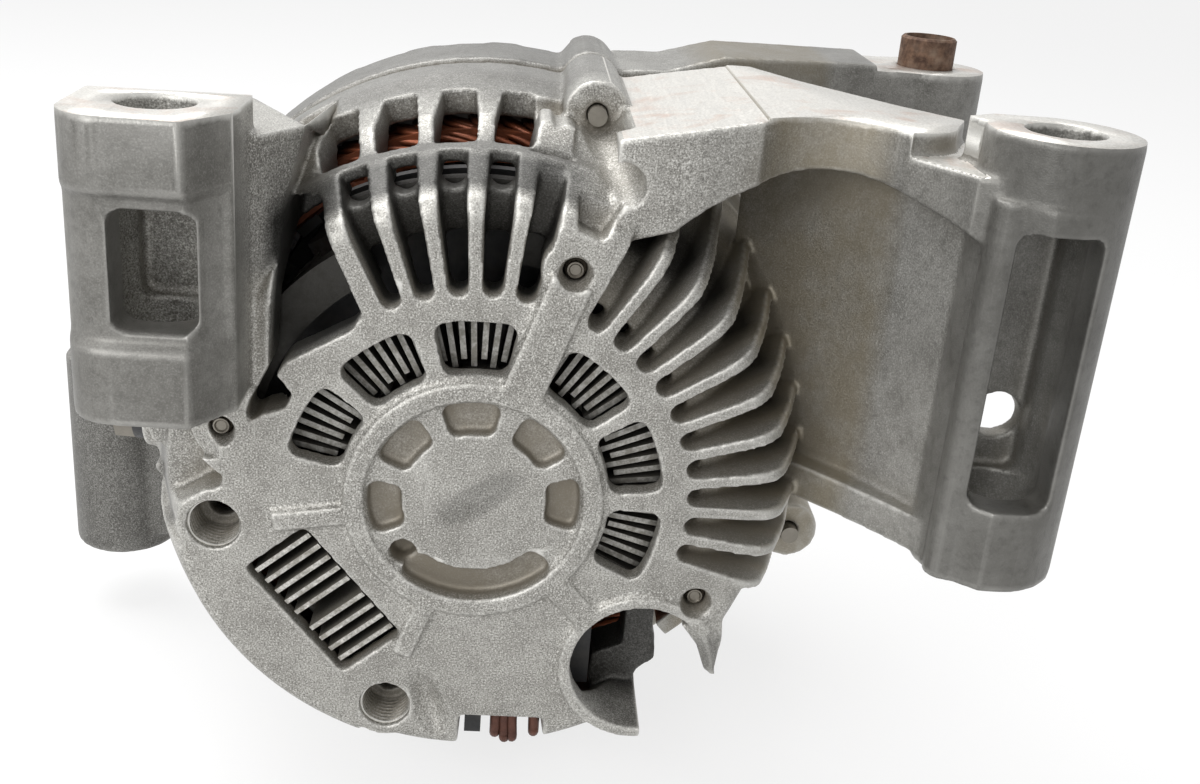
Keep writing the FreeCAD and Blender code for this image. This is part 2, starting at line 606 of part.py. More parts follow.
def front_bracket():
    """Front casting: rim that seats the core, domed end with air windows, bearing hub, two bosses."""
    rim_y = rear_rim_y + bracket_gap
    seat_end = rear_bore_y + core_len
    hub_end = front_bearing_y + front_bearing_w + 1.5
    end = front_end_y
    shell = spin([(0, rim_y), (rim_r + 0.5, rim_y), (rim_r + 0.5, end - 21),
                  ((63.0, end - 9.5), (52, end - 2.5)), (49, end), (0, end)])
    head_y = end - 17
    ears = [cyl(ear_r, rim_y, head_y, polar(bolt_pcr, a).x, polar(bolt_pcr, a).z) for a in bolt_angles]
    hub = cyl(front_bearing_od_r + 5.0, front_bearing_y - 1, hub_end)

    low = front_right_top - front_right_len
    boss_right = post(front_right_r, low, front_right_top, front_right_x, front_right_y)
    side = prism_y([(16, 60), (20, 66.2), (34, 66.4), (46, 69.6), (80, 69.6), (80.2, 68.0), (94, 68.0),
                    (94, 58), (62, 60.5), (40, 56), (20, 50)], 60, end + 3)
    plan = prism_z([(16, rim_y), (45, end - 35), (66, end - 30), (94, end - 28), (94, end - 4),
                    (60, end - 7), (36, end - 10), (16, end - 12)], 45, 75)
    web = prism_z([(40, end - 25), (94, end - 21), (94, end - 16), (40, end - 19)], low + 6, 62)
    floor = front_left_top - front_left_len
    boss_left = post(front_left_r, floor, front_left_top, front_left_x, front_left_y)
    left_web = prism_z([(front_left_x, end - 33), (-62, end - 35), (-50, end - 35), (-50, end - 23),
                        (-62, end - 21), (front_left_x, end - 19)], floor + 4, front_left_top - 4)
    body = shell.fuse(ears + [hub, boss_right, side.common(plan), web, boss_left, left_web])

    seat_r = core_r + seat_gap
    hollow = spin([(front_bearing_od_r + 5.0, end - 5), (48, end - 5),
                   ((56.5, end - 8.5), (cavity_r, end - 17)), (cavity_r, seat_end),
                   (seat_r, seat_end), (seat_r, rim_y - 1), (0, rim_y - 1), (0, front_bearing_y - 1),
                   (front_bearing_od_r + 5.0, front_bearing_y - 1)])
    seat_y = front_bearing_y + front_bearing_w
    cuts = [hollow, cyl(front_bearing_od_r + press_gap, front_bearing_y - 2, seat_y)]
    cuts.append(cyl(20, front_bearing_y, hub_end + 1))
    for k in range(12):
        cuts.append(sector(31.5, 47.0, 11.5, 15 + 30 * k, end - 7, end + 3, 2.0))
    window = rounded(box(50, 72, end - 21, end - 9, -5.2, 5.2), 1.8, lambda e: along(e, X_AXIS))
    for k in range(24):
        angle = 7.5 + 15 * k
        at_bolt = min(abs((angle - a + 180) % 360 - 180) for a in bolt_angles) < 7
        at_boss = 171 < angle < 221 or 20 < angle < 75
        if not at_bolt and not at_boss:
            cuts.append(turned(window, angle))
    for a in bolt_angles:
        p = polar(bolt_pcr, a)
        cuts.append(cyl(bolt_r + thread_gap, rim_y - 1, end, p.x, p.z))
        cuts.append(cyl(5.2, head_y, end + 3, p.x, p.z))
    cuts.append(post(bush_r + seat_gap, low - 1, front_right_top + 1, front_right_x, front_right_y))
    cuts.append(post(front_left_bore_r, floor - 1, front_left_top + 1, front_left_x, front_left_y))
    for a in retainer_angles:
        p = polar(retainer_pcr, a)
        cuts.append(cyl(1.6 + thread_gap, front_bearing_y - 2, front_bearing_y + 9, p.x, p.z))
    marks = [(front_left_x - 3.0, front_left_y, -19.0), (front_left_x - 1.0, front_left_y, -45.0),
             (front_right_x + 1.0, front_right_y, front_right_top - 6.0)]
    for x, y, z in marks:
        cuts.append(tube(2.9, 2.3, y - 20, y - 10.4, x, z))
    return body.cut(cuts)


def through_bolts():
    """Four identical bolts that hold the brackets together, heads at the front."""
    head_y = front_end_y - 17
    solids = []
    for a in bolt_angles:
        p = polar(bolt_pcr, a)
        head = cyl(4.4, head_y, head_y + 4.5, p.x, p.z).cut(hexagon(2.1, head_y + 1.5, head_y + 5, p))
        thread_y = bolt_tip_y + bolt_tip_len
        solids.append(head.fuse([cyl(bolt_tip_r, bolt_tip_y, thread_y, p.x, p.z),
                                 cyl(bolt_r, thread_y, head_y, p.x, p.z)]))
    return Part.makeCompound(solids)


def hexagon(apothem, y0, y1, centre):
    """Hexagonal prism along Y."""
    size = apothem / math.cos(math.radians(30))
    points = []
    for k in range(6):
        a = math.radians(60 * k)
        points.append((centre.x + size * math.cos(a), centre.z + size * math.sin(a)))
    return prism_y(points, y0, y1)


def slide_bush():
    """Steel bush that slides in the front bracket's right boss and takes up the gap when bolted."""
    top = front_right_top + bush_proud
    outer = post(bush_r, top - bush_len, top, front_right_x, front_right_y)
    ends = [e for e in outer.Edges if isinstance(e.Curve, Part.Circle)]
    outer = outer.makeChamfer(0.5, ends)
    return outer.cut(post(bush_bore_r, top - bush_len - 1, top + 1, front_right_x, front_right_y))


# Stator

def stator_core():
    """Laminated ring with open slots on its inside."""
    bore = pole_r + air_gap
    ring = tube(core_r, bore, rear_bore_y, rear_bore_y + core_len)
    slot = box(bore - 1, bore + slot_depth, rear_bore_y - 1, rear_bore_y + core_len + 1,
               -slot_w / 2, slot_w / 2)
    return ring.cut([turned(slot, 360.0 * k / slot_count) for k in range(slot_count)])


def stator_winding():
    """Copper bars in the slots with a rounded ring of end turns at each side of the core."""
    bore = pole_r + air_gap
    r0 = bore + 0.8
    r1 = bore + slot_depth - 0.3
    y0 = rear_bore_y - coil_head_rear
    y1 = rear_bore_y + core_len + coil_head_front
    rear = coil_head(r0 + 0.6, coil_head_r, rear_bore_y - 0.6, y0)
    front = coil_head(r0 + 0.6, coil_head_r, rear_bore_y + core_len + 0.6, y1)
    half = slot_w / 2 - 0.25
    bar = box(r0 + 0.8, r1, rear_bore_y - 2, rear_bore_y + core_len + 2, -half, half)
    return rear.fuse([front] + [turned(bar, 360.0 * k / slot_count) for k in range(slot_count)])


def stator_leads():
    """Lead wires from the rear end turns to the clips that show in the notch of the rear bracket."""
    y0 = rear_bore_y - coil_head_rear - 0.05
    leads = []
    for x in lead_x:
        leads.append(wire([(x, y0, -55.0), (x, 20.0, -54.6), (x, 14.0, -56.4), (x, 11.6, -54.6),
                           (x, 11.6, -47.0)], lead_r))
    return Part.makeCompound(leads)


def coil_head(r0, r1, y_core, y_end):
    """Ring of end turns with a rounded nose."""
    mid = (r0 + r1) / 2
    bend = (r1 - r0) / 2
    nose = y_end + (bend if y_end < y_core else -bend)
    return spin([(r0, y_core), (r0, nose), ((mid, y_end), (r1, nose)), (r1, y_core)])


# Rotor

def rotor_shaft():
    """Stepped steel shaft with the nut thread's plain body at its front end."""
    thread_y = pulley_y + pulley_w
    return spin([(0, 8.1), (7.0, 8.1), (shaft_rear_r, 8.6), (shaft_rear_r, pole_face_y - 1.2),
                 (shaft_r, pole_face_y - 1.2),
                 (shaft_r, thread_y), (nut_thread_r, thread_y), (nut_thread_r, thread_y + 10.4),
                 (nut_thread_r - 0.6, thread_y + 11), (0, thread_y + 11)])


def claw_pole():
    """Rear pole: half of the iron core, a disc and six tapered claws, facing +Y."""
    y0 = pole_face_y
    tip = y0 + pole_len - 5.0
    finger = prism_z([(32, y0), (46.5, y0), (pole_r + 1, y0 + 3), (pole_r + 1, tip), (pole_r - 3.2, tip),
                      (39.8, y0 + pole_disc_t), (32, y0 + pole_disc_t)], -claw_root_half, claw_root_half)
    taper = Part.Face(Part.makePolygon([V(30, y0, -claw_root_half), V(30, y0, claw_root_half),
                                        V(30, tip, claw_tip_half), V(30, tip, -claw_tip_half),
                                        V(30, y0, -claw_root_half)])).extrude(V(25, 0, 0))
    claw = finger.common(taper)
    claws = [turned(claw, 360.0 * k / claw_count) for k in range(claw_count)]
    disc = cyl(34, y0, y0 + pole_disc_t)
    core = cyl(bobbin_core_r - bobbin_wall - seat_gap, y0, rotor_mid_y)
    body = disc.fuse(claws + [core]).common(cyl(pole_r, y0, tip + 1))
    return body.cut(cyl(shaft_r + press_gap, y0 - 1, rotor_mid_y + 1))


def front_claw_pole():
    """Front pole: the rear one turned end for end and by half a claw pitch."""
    pole = claw_pole()
    pole = pole.mirror(V(0, rotor_mid_y, 0), Y_AXIS)
    return turned(pole, 180.0 / claw_count)


def coil_bobbin():
    """Moulded bobbin between the pole discs."""
    y0 = pole_face_y + pole_disc_t + seat_gap
    y1 = 2 * rotor_mid_y - y0
    inner = bobbin_core_r - bobbin_wall
    body = tube(bobbin_core_r, inner, y0, y1)
    flanges = [tube(coil_r, inner, y0, y0 + bobbin_wall), tube(coil_r, inner, y1 - bobbin_wall, y1)]
    return body.fuse(flanges)


def field_coil():
    """Rotor winding on the bobbin."""
    y0 = pole_face_y + pole_disc_t + bobbin_wall + 2 * seat_gap
    return tube(coil_r - 0.6, bobbin_core_r + seat_gap, y0, 2 * rotor_mid_y - y0)


def fan(y_plate, height, way):
    """Pressed fan: a disc with curved blades bent up from it; way is -1 for blades towards the rear."""
    y0, y1 = sorted((y_plate, y_plate + way * fan_plate_t))
    disc = tube(fan_r, shaft_r + 0.3, y0, y1)
    b0, b1 = sorted((y_plate + way * fan_plate_t * 0.5, y_plate + way * (fan_plate_t + height)))
    blade = prism_y([(fan_blade_r0, -0.6), ((39.2, 3.6), (43.6, 12.6)), (42.6, 13.4),
                     ((38.4, 4.9), (fan_blade_r0, 0.7))], b0, b1)
    cuts = [sector(36, 52, 5.2, 360.0 * (k + 0.08) / fan_blades - 4.0, y0 - 1, y1 + 1, 1.5)
            for k in range(fan_blades)]
    return disc.cut(cuts).fuse([turned(blade, 360.0 * k / fan_blades) for k in range(fan_blades)])


def slip_ring_carrier():
    """Moulded sleeve under the slip rings."""
    return tube(slip_r - 1.0, shaft_rear_r + press_gap, carrier_y0, carrier_y1)


def slip_rings():
    """Two copper rings, one for each brush."""
    half = slip_w / 2
    inner = slip_r - 1.0 + press_gap
    middles = [slip_y + k * slip_pitch for k in range(2)]
    return Part.makeCompound([tube(slip_r, inner, mid - half, mid + half) for mid in middles])


def ball_bearing(bore, od, y0, width):
    """Outer ring, inner ring, and the balls with their cage, all grooved for the balls."""
    pitch = (bore + od) / 2
    ball = (od - bore) * 0.27
    mid = y0 + width / 2
    lip = (od - bore) * 0.26
    groove = Part.makeTorus(pitch, ball + 0.3, V(0, mid, 0), Y_AXIS)
    outer = tube(od, od - lip, y0, y0 + width).cut(groove)
    inner = tube(bore + lip, bore, y0, y0 + width).cut(groove)
    half = ball + cage_rim
    cage = tube(pitch + cage_t / 2, pitch - cage_t / 2, mid - half, mid + half)
    pockets = []
    balls = []
    for k in range(ball_count):
        angle = 360.0 * k / ball_count
        pockets.append(Part.makeCylinder(ball + cage_gap, ball + cage_t, polar(pitch - ball, angle, mid),
                                         polar(1, angle)))
        balls.append(Part.makeSphere(ball, polar(pitch, angle, mid)))
    return outer, inner, Part.makeCompound([cage.cut(pockets)] + balls)


def seal_ring(bore, od, y0):
    """Thin shield pressed in the outer ring, clear of the inner one."""
    lip = (od - bore) * 0.26
    return tube(od - lip - press_gap, bore + lip + 0.3, y0, y0 + 0.8)


def retainer_plate():
    """Plate that holds the front bearing in its hub."""
    y0 = front_bearing_y - 1 - 2.0
    return tube(front_bearing_od_r + 4.6, 17.0, y0, y0 + 2.0).cut(
        [cyl(1.6 + thread_gap, y0 - 1, y0 + 3, polar(retainer_pcr, a).x, polar(retainer_pcr, a).z)
         for a in retainer_angles])


def retainer_screws():
    """Screws of the retainer plate, heads towards the rotor."""
    solids = []
    y0 = front_bearing_y - 1 - 2.0
    for a in retainer_angles:
        p = polar(retainer_pcr, a)
        solids.append(cyl(2.6, y0 - 1.0, y0, p.x, p.z).fuse(cyl(1.6, y0, y0 + 9, p.x, p.z)))
    return Part.makeCompound(solids)


def pulley():
    """Pulley with six V grooves, a recessed front and a plain hub."""
    y0 = pulley_y
    y1 = pulley_y + pulley_w
    first = (y0 + y1) / 2 - groove_pitch * (groove_count - 1) / 2
    points = [(13.0, y0), (pulley_r + 1.2, y0), (pulley_r + 1.2, y0 + 1.2)]
    for k in range(groove_count):
        mid = first + k * groove_pitch
        points += [(pulley_r, mid - groove_pitch * 0.42), (pulley_r - groove_depth, mid - 0.35),
                   (pulley_r - groove_depth, mid + 0.35), (pulley_r, mid + groove_pitch * 0.42)]
    points += [(pulley_r + 1.2, y1 - 1.2), (pulley_r + 1.2, y1), (pulley_r - 4.0, y1),
               (pulley_r - 5.0, y1 - 7), (15.0, y1 - 7), (14.5, y1 - 0.2),
               (shaft_r + press_gap, y1 - 0.2), (shaft_r + press_gap, y0)]
    return spin(points)


def pulley_nut():
    """Hexagon nut at the end of the shaft, with a flange."""
    y0 = pulley_y + pulley_w - 0.2
    nut = hexagon(nut_flats / 2, y0 + 1.5, y0 + nut_w, ORIGIN).fuse(cyl(13.6, y0, y0 + 1.5))
    nut = nut.cut(cyl(shaft_r + press_gap, y0 - 1, pulley_y + pulley_w))
    return nut.cut(cyl(nut_thread_r + thread_gap, y0 - 1, y0 + nut_w + 1))


# Regulator and brushes

def brush_frame(shape):
    """From radial X to the direction of the brushes."""
    return turned(shape, brush_angle)


def brush_holder():
    """Moulded holder with one rectangular guide for each brush."""
    body = box(slip_r + 3.0, 28.4, carrier_y0 + 0.2, carrier_y1, -5.6, 5.6)
    for k in range(2):
        y = slip_y + k * slip_pitch
        guide = box(slip_r - 1, spring_seat_r, y - brush_w / 2 - 0.3, y + brush_w / 2 + 0.3,
                    -brush_t / 2 - 0.3, brush_t / 2 + 0.3)
        body = body.cut(guide)
    return brush_frame(body)


def brush(k):
    """Carbon brush with its end hollowed to the ring."""
    y = slip_y + k * slip_pitch
    body = box(slip_r - 1, slip_r + brush_len, y - brush_w / 2, y + brush_w / 2, -brush_t / 2, brush_t / 2)
    return brush_frame(body.cut(cyl(slip_r + 0.3, 10, 40)))


def brush_spring(k):
    """Coil spring behind a brush, as one helical wire."""
    y = slip_y + k * slip_pitch
    start = slip_r + brush_len + turn_gap * 0.7
    length = spring_seat_r - start - seat_gap
    wire_r = spring_wire_r
    coil_mean = 1.6
    turns = 5
    helix = Part.makeHelix((length - 2 * wire_r) / turns, length - 2 * wire_r, coil_mean)
    near = coil_mean - wire_r
    far = coil_mean + wire_r
    section = Part.makePolygon([V(near, 0, -wire_r), V(far, 0, -wire_r), V(far, 0, wire_r),
                                V(near, 0, wire_r), V(near, 0, -wire_r)])
    coil = Part.Wire(helix).makePipeShell([section], True, True)
    coil.rotate(ORIGIN, Y_AXIS, 90)
    coil.translate(V(start + wire_r, y, 0))
    return brush_frame(coil)


def regulator_body():
    """Moulded regulator block that carries the brush holder."""
    y1 = rectifier_y + 7.2
    body = sector(24.0, 44.0, 46.0, 251.0, rectifier_y, y1, 2.0)
    guide = box(0.2, 3.4, 10.0, y1 + 2, -56.0, -40.0)
    shroud = box(7.0, 23.6, 9.5, y1 + 3, -43.0, -26.0)
    mouth = box(11.0, 24.0, 11.0, y1 + 1.5, -41.5, -27.5)
    return body.fuse([guide, shroud]).cut(mouth)


def regulator_heat_sink():
    """Aluminium plate fins of the regulator, standing in the oblong window."""
    half = regulator_win_l / 2
    r0 = regulator_r - regulator_win_w / 2
    base = box(r0 - 1.5, regulator_r + regulator_win_w / 2 + 1.5, rectifier_y - 2.2, rectifier_y,
               -half - 0.5, half + 0.5)
    fins = []
    for k in range(9):
        z = half - 2.0 - 2.72 * k - (1.5 if k > 3 else 0.0)
        fins.append(box(r0 + 0.6, r0 + regulator_win_w - 0.8, 1.2, rectifier_y - 1, z - 0.45, z + 0.45))
    return brush_frame(base.fuse(fins))


# Rectifier

def rectifier_heat_sink():
    """Positive plate with the thin radial fins that show in the row of windows."""
    a0, a1 = -30.0, 172.0
    base = spin([(sink_r0, rectifier_y), (sink_r1, rectifier_y), (sink_r1, rectifier_y + plate_t),
                 (sink_r0, rectifier_y + plate_t)], a1 - a0, a0)
    fins = []
    count = int((a1 - a0 - 4) / sink_fin_pitch)
    for k in range(count + 1):
        inner = sink_r0 + (0.3 if k % 2 else 1.7)
        fin = box(inner, sink_r1 - 1.0, sink_fin_y, rectifier_y + 1, -sink_fin_t / 2, sink_fin_t / 2)
        fins.append(turned(fin, a0 + 2 + k * sink_fin_pitch))
    seats = [cyl(diode_r, rectifier_y + diode_seat_t, rectifier_y + 9, polar(diode_pcr, a).x,
                 polar(diode_pcr, a).z) for a in diode_angles]
    return base.fuse(fins).cut(seats)


def rectifier_negative_plate():
    """Outer plate, screwed to the pads of the rear bracket."""
    top = rectifier_y + plate_t
    ring = [(negative_r0, rectifier_y), (negative_r1, rectifier_y), (negative_r1, top), (negative_r0, top)]
    lobe = spin([(lobe_r0, rectifier_y), (lobe_r1, rectifier_y), (lobe_r1, top), (lobe_r0, top)],
                lobe_a1 - lobe_a0, lobe_a0)
    base = spin(ring, lobe_a0 + 35, -32).fuse([spin(ring, 173 - lobe_a1, lobe_a1 - 3), lobe])
    tabs = []
    holes = []
    for a in screw_angles:
        tab = polar(screw_pcr - 1.2, a)
        hole = polar(screw_pcr, a)
        tabs.append(cyl(4.4, rectifier_y, top, tab.x, tab.z))
        holes.append(cyl(screw_r + thread_gap, 5, 25, hole.x, hole.z))
    return base.fuse(tabs).cut(holes)


def diodes():
    """Rectifier diodes with their lead pins, pressed in the inner plate and soldered on the outer one."""
    solids = []
    for a in diode_angles:
        p = polar(diode_pcr, a)
        low = rectifier_y + diode_seat_t + press_gap
        solids.append(cyl(diode_r - press_gap, low, rectifier_y + diode_h, p.x, p.z).fuse(
            cyl(diode_pin_r, rectifier_y + diode_h, rectifier_y + diode_h + 3.0, p.x, p.z)))
    for r, a in outer_diodes:
        p = polar(r, a)
        solids.append(cyl(3.3, rectifier_y + plate_t, rectifier_y + diode_h, p.x, p.z).fuse(
            cyl(diode_pin_r, rectifier_y + diode_h, rectifier_y + diode_h + 3.0, p.x, p.z)))
    return Part.makeCompound(solids)


def terminal_board():
    """Moulded crescent that joins the diode leads."""
    y0 = rectifier_y + diode_h + 0.4
    y1 = y0 + 2.6
    lobe = spin([(44, y0), (lobe_r1 + 0.3, y0), (lobe_r1 + 0.3, y1), (44, y1)], lobe_a1 - lobe_a0, lobe_a0)
    body = spin([(25, y0), (47, y0), (47, y1), (25, y1)], 196, -28).fuse(lobe)
    points = [polar(diode_pcr, a) for a in diode_angles] + [polar(r, a) for r, a in outer_diodes]
    holes = [cyl(diode_pin_r + thread_gap, y0 - 1, y0 + 5, p.x, p.z) for p in points]
    screws = [cyl(4.4, y0 - 1, y0 + 5, polar(screw_pcr, a).x, polar(screw_pcr, a).z) for a in screw_angles]
    return body.cut(holes + screws)


def rectifier_screws():
    """Three screws from inside; their tips show in the small holes of the face."""
    solids = []
    for a in screw_angles:
        p = polar(screw_pcr, a)
        y = rectifier_y + plate_t
        solids.append(cyl(3.6, y, y + 2.6, p.x, p.z).fuse(
            [cyl(screw_tip_r, screw_tip_y, screw_tip_y + 0.8, p.x, p.z),
             cyl(screw_r, screw_tip_y + 0.8, y, p.x, p.z)]))
    return Part.makeCompound(solids)


def output_stud():
    """Output stud, square to the shaft on the left under the arm; its free end is thinner."""
    way = polar(1, stud_angle)
    head = Part.makeCylinder(stud_head_r, stud_head_t, polar(stud_r0, stud_angle, stud_y), way)
    root = Part.makeCylinder(stud_root_r, stud_free_r0 - stud_r0, polar(stud_r0, stud_angle, stud_y), way)
    free = Part.makeCylinder(stud_r, stud_free, polar(stud_free_r0, stud_angle, stud_y), way)
    return head.fuse([root, free])


def stud_insulator():
    """Flanged insulating bush round the stud."""
    way = polar(1, stud_angle)
    start = stud_r0 + stud_head_t + seat_gap
    neck = Part.makeCylinder(insulator_r, stud_seat_r - start, polar(start, stud_angle, stud_y), way)
    flange = Part.makeCylinder(insulator_flange_r, insulator_flange_t,
                               polar(stud_seat_r, stud_angle, stud_y), way)
    bore = Part.makeCylinder(stud_root_r + thread_gap, stud_free_r0 - stud_r0 + 2,
                             polar(stud_r0 - 1, stud_angle, stud_y), way)
    return neck.fuse(flange).cut(bore)


def stud_nut():
    """Hexagon nut on the root of the output stud."""
    nut = hexagon(6.2, 0, stud_nut_t, ORIGIN).cut(cyl(stud_root_r + press_gap, -1, stud_nut_t + 1))
    nut.rotate(ORIGIN, Z_AXIS, -90)
    nut = turned(nut, stud_angle)
    nut.translate(polar(stud_nut_r0, stud_angle, stud_y))
    return nut


def connector_pins():
    """Three flat blades in the regulator's socket, which opens into the round bay."""
    heights = (-38.5, -34.5, -30.5)
    return Part.makeCompound([box(11.02, 20.0, 15.6, 16.4, z - 1.1, z + 1.1) for z in heights])


def output_bar():
    """Bent strip that joins the rectifier plate to the output stud."""
    way = polar(1, stud_angle)
    y0 = rectifier_y + plate_t + press_gap
    run = box(sink_r1 - 1.5, stud_r0 - 1.6, y0, y0 + 1.6, -4.0, 4.0)
    rise = box(stud_r0 - 1.6, stud_r0 - press_gap, y0, stud_y + 4.5, -4.0, 4.0)
    return turned(run.fuse(rise), stud_angle)


def main():
    """Builds every piece and writes its file."""
    front_bore = shaft_r + press_gap
    rear_bore = shaft_rear_r + press_gap
    front_bearing_end = front_bearing_y + front_bearing_w
    rear_bearing_end = rear_bearing_y + rear_bearing_w
    front_outer, front_inner, front_balls = ball_bearing(front_bore, front_bearing_od_r, front_bearing_y,
                                                         front_bearing_w)
    rear_outer, rear_inner, rear_balls = ball_bearing(rear_bore, rear_bearing_od_r, rear_bearing_y,
                                                      rear_bearing_w)
    pole_end = rotor_mid_y + pole_len / 2
    pieces = {
        "rear_bracket": rear_bracket(),
        "front_bracket": front_bracket(),
        "through_bolts": through_bolts(),
        "slide_bush": slide_bush(),
        "stator_core": stator_core(),
        "stator_winding": stator_winding(),
        "rotor_shaft": rotor_shaft(),
        "rear_claw_pole": claw_pole(),
        "front_claw_pole": front_claw_pole(),
        "coil_bobbin": coil_bobbin(),
        "field_coil": field_coil(),
        "rear_fan": fan(pole_face_y, fan_blade_h, -1),
        "front_fan": fan(pole_end, fan_front_h, 1),
        "slip_ring_carrier": slip_ring_carrier(),
        "slip_rings": slip_rings(),
        "rear_bearing_outer_ring": rear_outer,
        "rear_bearing_inner_ring": rear_inner,
        "rear_bearing_balls": rear_balls,
        "rear_bearing_seal": seal_ring(rear_bore, rear_bearing_od_r, rear_bearing_end - 1),
        "tolerance_ring": tube(rear_bearing_od_r + tolerance_ring_t, rear_bearing_od_r + press_gap,
                               rear_bearing_y, rear_bearing_end),
        "front_bearing_outer_ring": front_outer,
        "front_bearing_inner_ring": front_inner,
        "front_bearing_balls": front_balls,
        "front_bearing_seal": seal_ring(front_bore, front_bearing_od_r, front_bearing_end - 1),
        "retainer_plate": retainer_plate(),
        "retainer_screws": retainer_screws(),
        "inner_collar": tube(12.0, front_bore, pole_end + fan_plate_t, front_bearing_y),
        "outer_collar": tube(12.0, front_bore, front_bearing_end, pulley_y),
        "pulley": pulley(),
        "pulley_nut": pulley_nut(),
        "brush_holder": brush_holder(),
        "upper_brush": brush(1),
        "lower_brush": brush(0),
        "upper_brush_spring": brush_spring(1),
        "lower_brush_spring": brush_spring(0),
        "regulator_body": regulator_body(),
        "regulator_heat_sink": regulator_heat_sink(),
        "rectifier_heat_sink": rectifier_heat_sink(),
        "rectifier_negative_plate": rectifier_negative_plate(),
        "rectifier_diodes": diodes(),
        "rectifier_terminal_board": terminal_board(),
        "rectifier_screws": rectifier_screws(),
        "output_stud": output_stud(),
        "stud_insulator": stud_insulator(),
        "stud_nut": stud_nut(),
        "stator_leads": stator_leads(),
        "output_bar": output_bar(),
        "connector_pins": connector_pins(),
    }
    for name, shape in pieces.items():
        save(name, shape)


main()
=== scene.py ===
import json
import math

import bmesh
import bpy
import numpy as np
from mathutils import Matrix, Vector

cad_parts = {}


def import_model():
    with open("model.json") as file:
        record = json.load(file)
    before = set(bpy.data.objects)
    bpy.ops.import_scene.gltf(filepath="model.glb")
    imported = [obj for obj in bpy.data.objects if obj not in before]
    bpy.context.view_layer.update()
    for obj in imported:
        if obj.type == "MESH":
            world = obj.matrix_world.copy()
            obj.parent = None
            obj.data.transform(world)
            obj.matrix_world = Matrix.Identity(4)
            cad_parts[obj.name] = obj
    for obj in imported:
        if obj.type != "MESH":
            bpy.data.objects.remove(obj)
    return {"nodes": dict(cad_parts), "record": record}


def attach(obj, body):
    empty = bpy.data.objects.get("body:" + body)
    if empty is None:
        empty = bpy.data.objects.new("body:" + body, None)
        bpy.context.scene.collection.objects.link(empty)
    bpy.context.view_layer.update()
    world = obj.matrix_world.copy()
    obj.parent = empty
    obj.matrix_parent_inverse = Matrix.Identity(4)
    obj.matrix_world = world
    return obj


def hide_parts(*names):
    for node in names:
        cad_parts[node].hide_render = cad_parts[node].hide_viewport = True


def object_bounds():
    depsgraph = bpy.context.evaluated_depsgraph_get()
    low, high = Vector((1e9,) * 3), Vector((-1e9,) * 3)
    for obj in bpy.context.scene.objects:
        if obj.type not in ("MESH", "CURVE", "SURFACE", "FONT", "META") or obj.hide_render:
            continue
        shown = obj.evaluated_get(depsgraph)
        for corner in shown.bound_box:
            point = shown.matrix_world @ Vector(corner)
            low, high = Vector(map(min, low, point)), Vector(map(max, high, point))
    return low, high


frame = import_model()
cad_low, cad_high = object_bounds()
nodes = frame["nodes"]
MM = 0.001


# Node materials

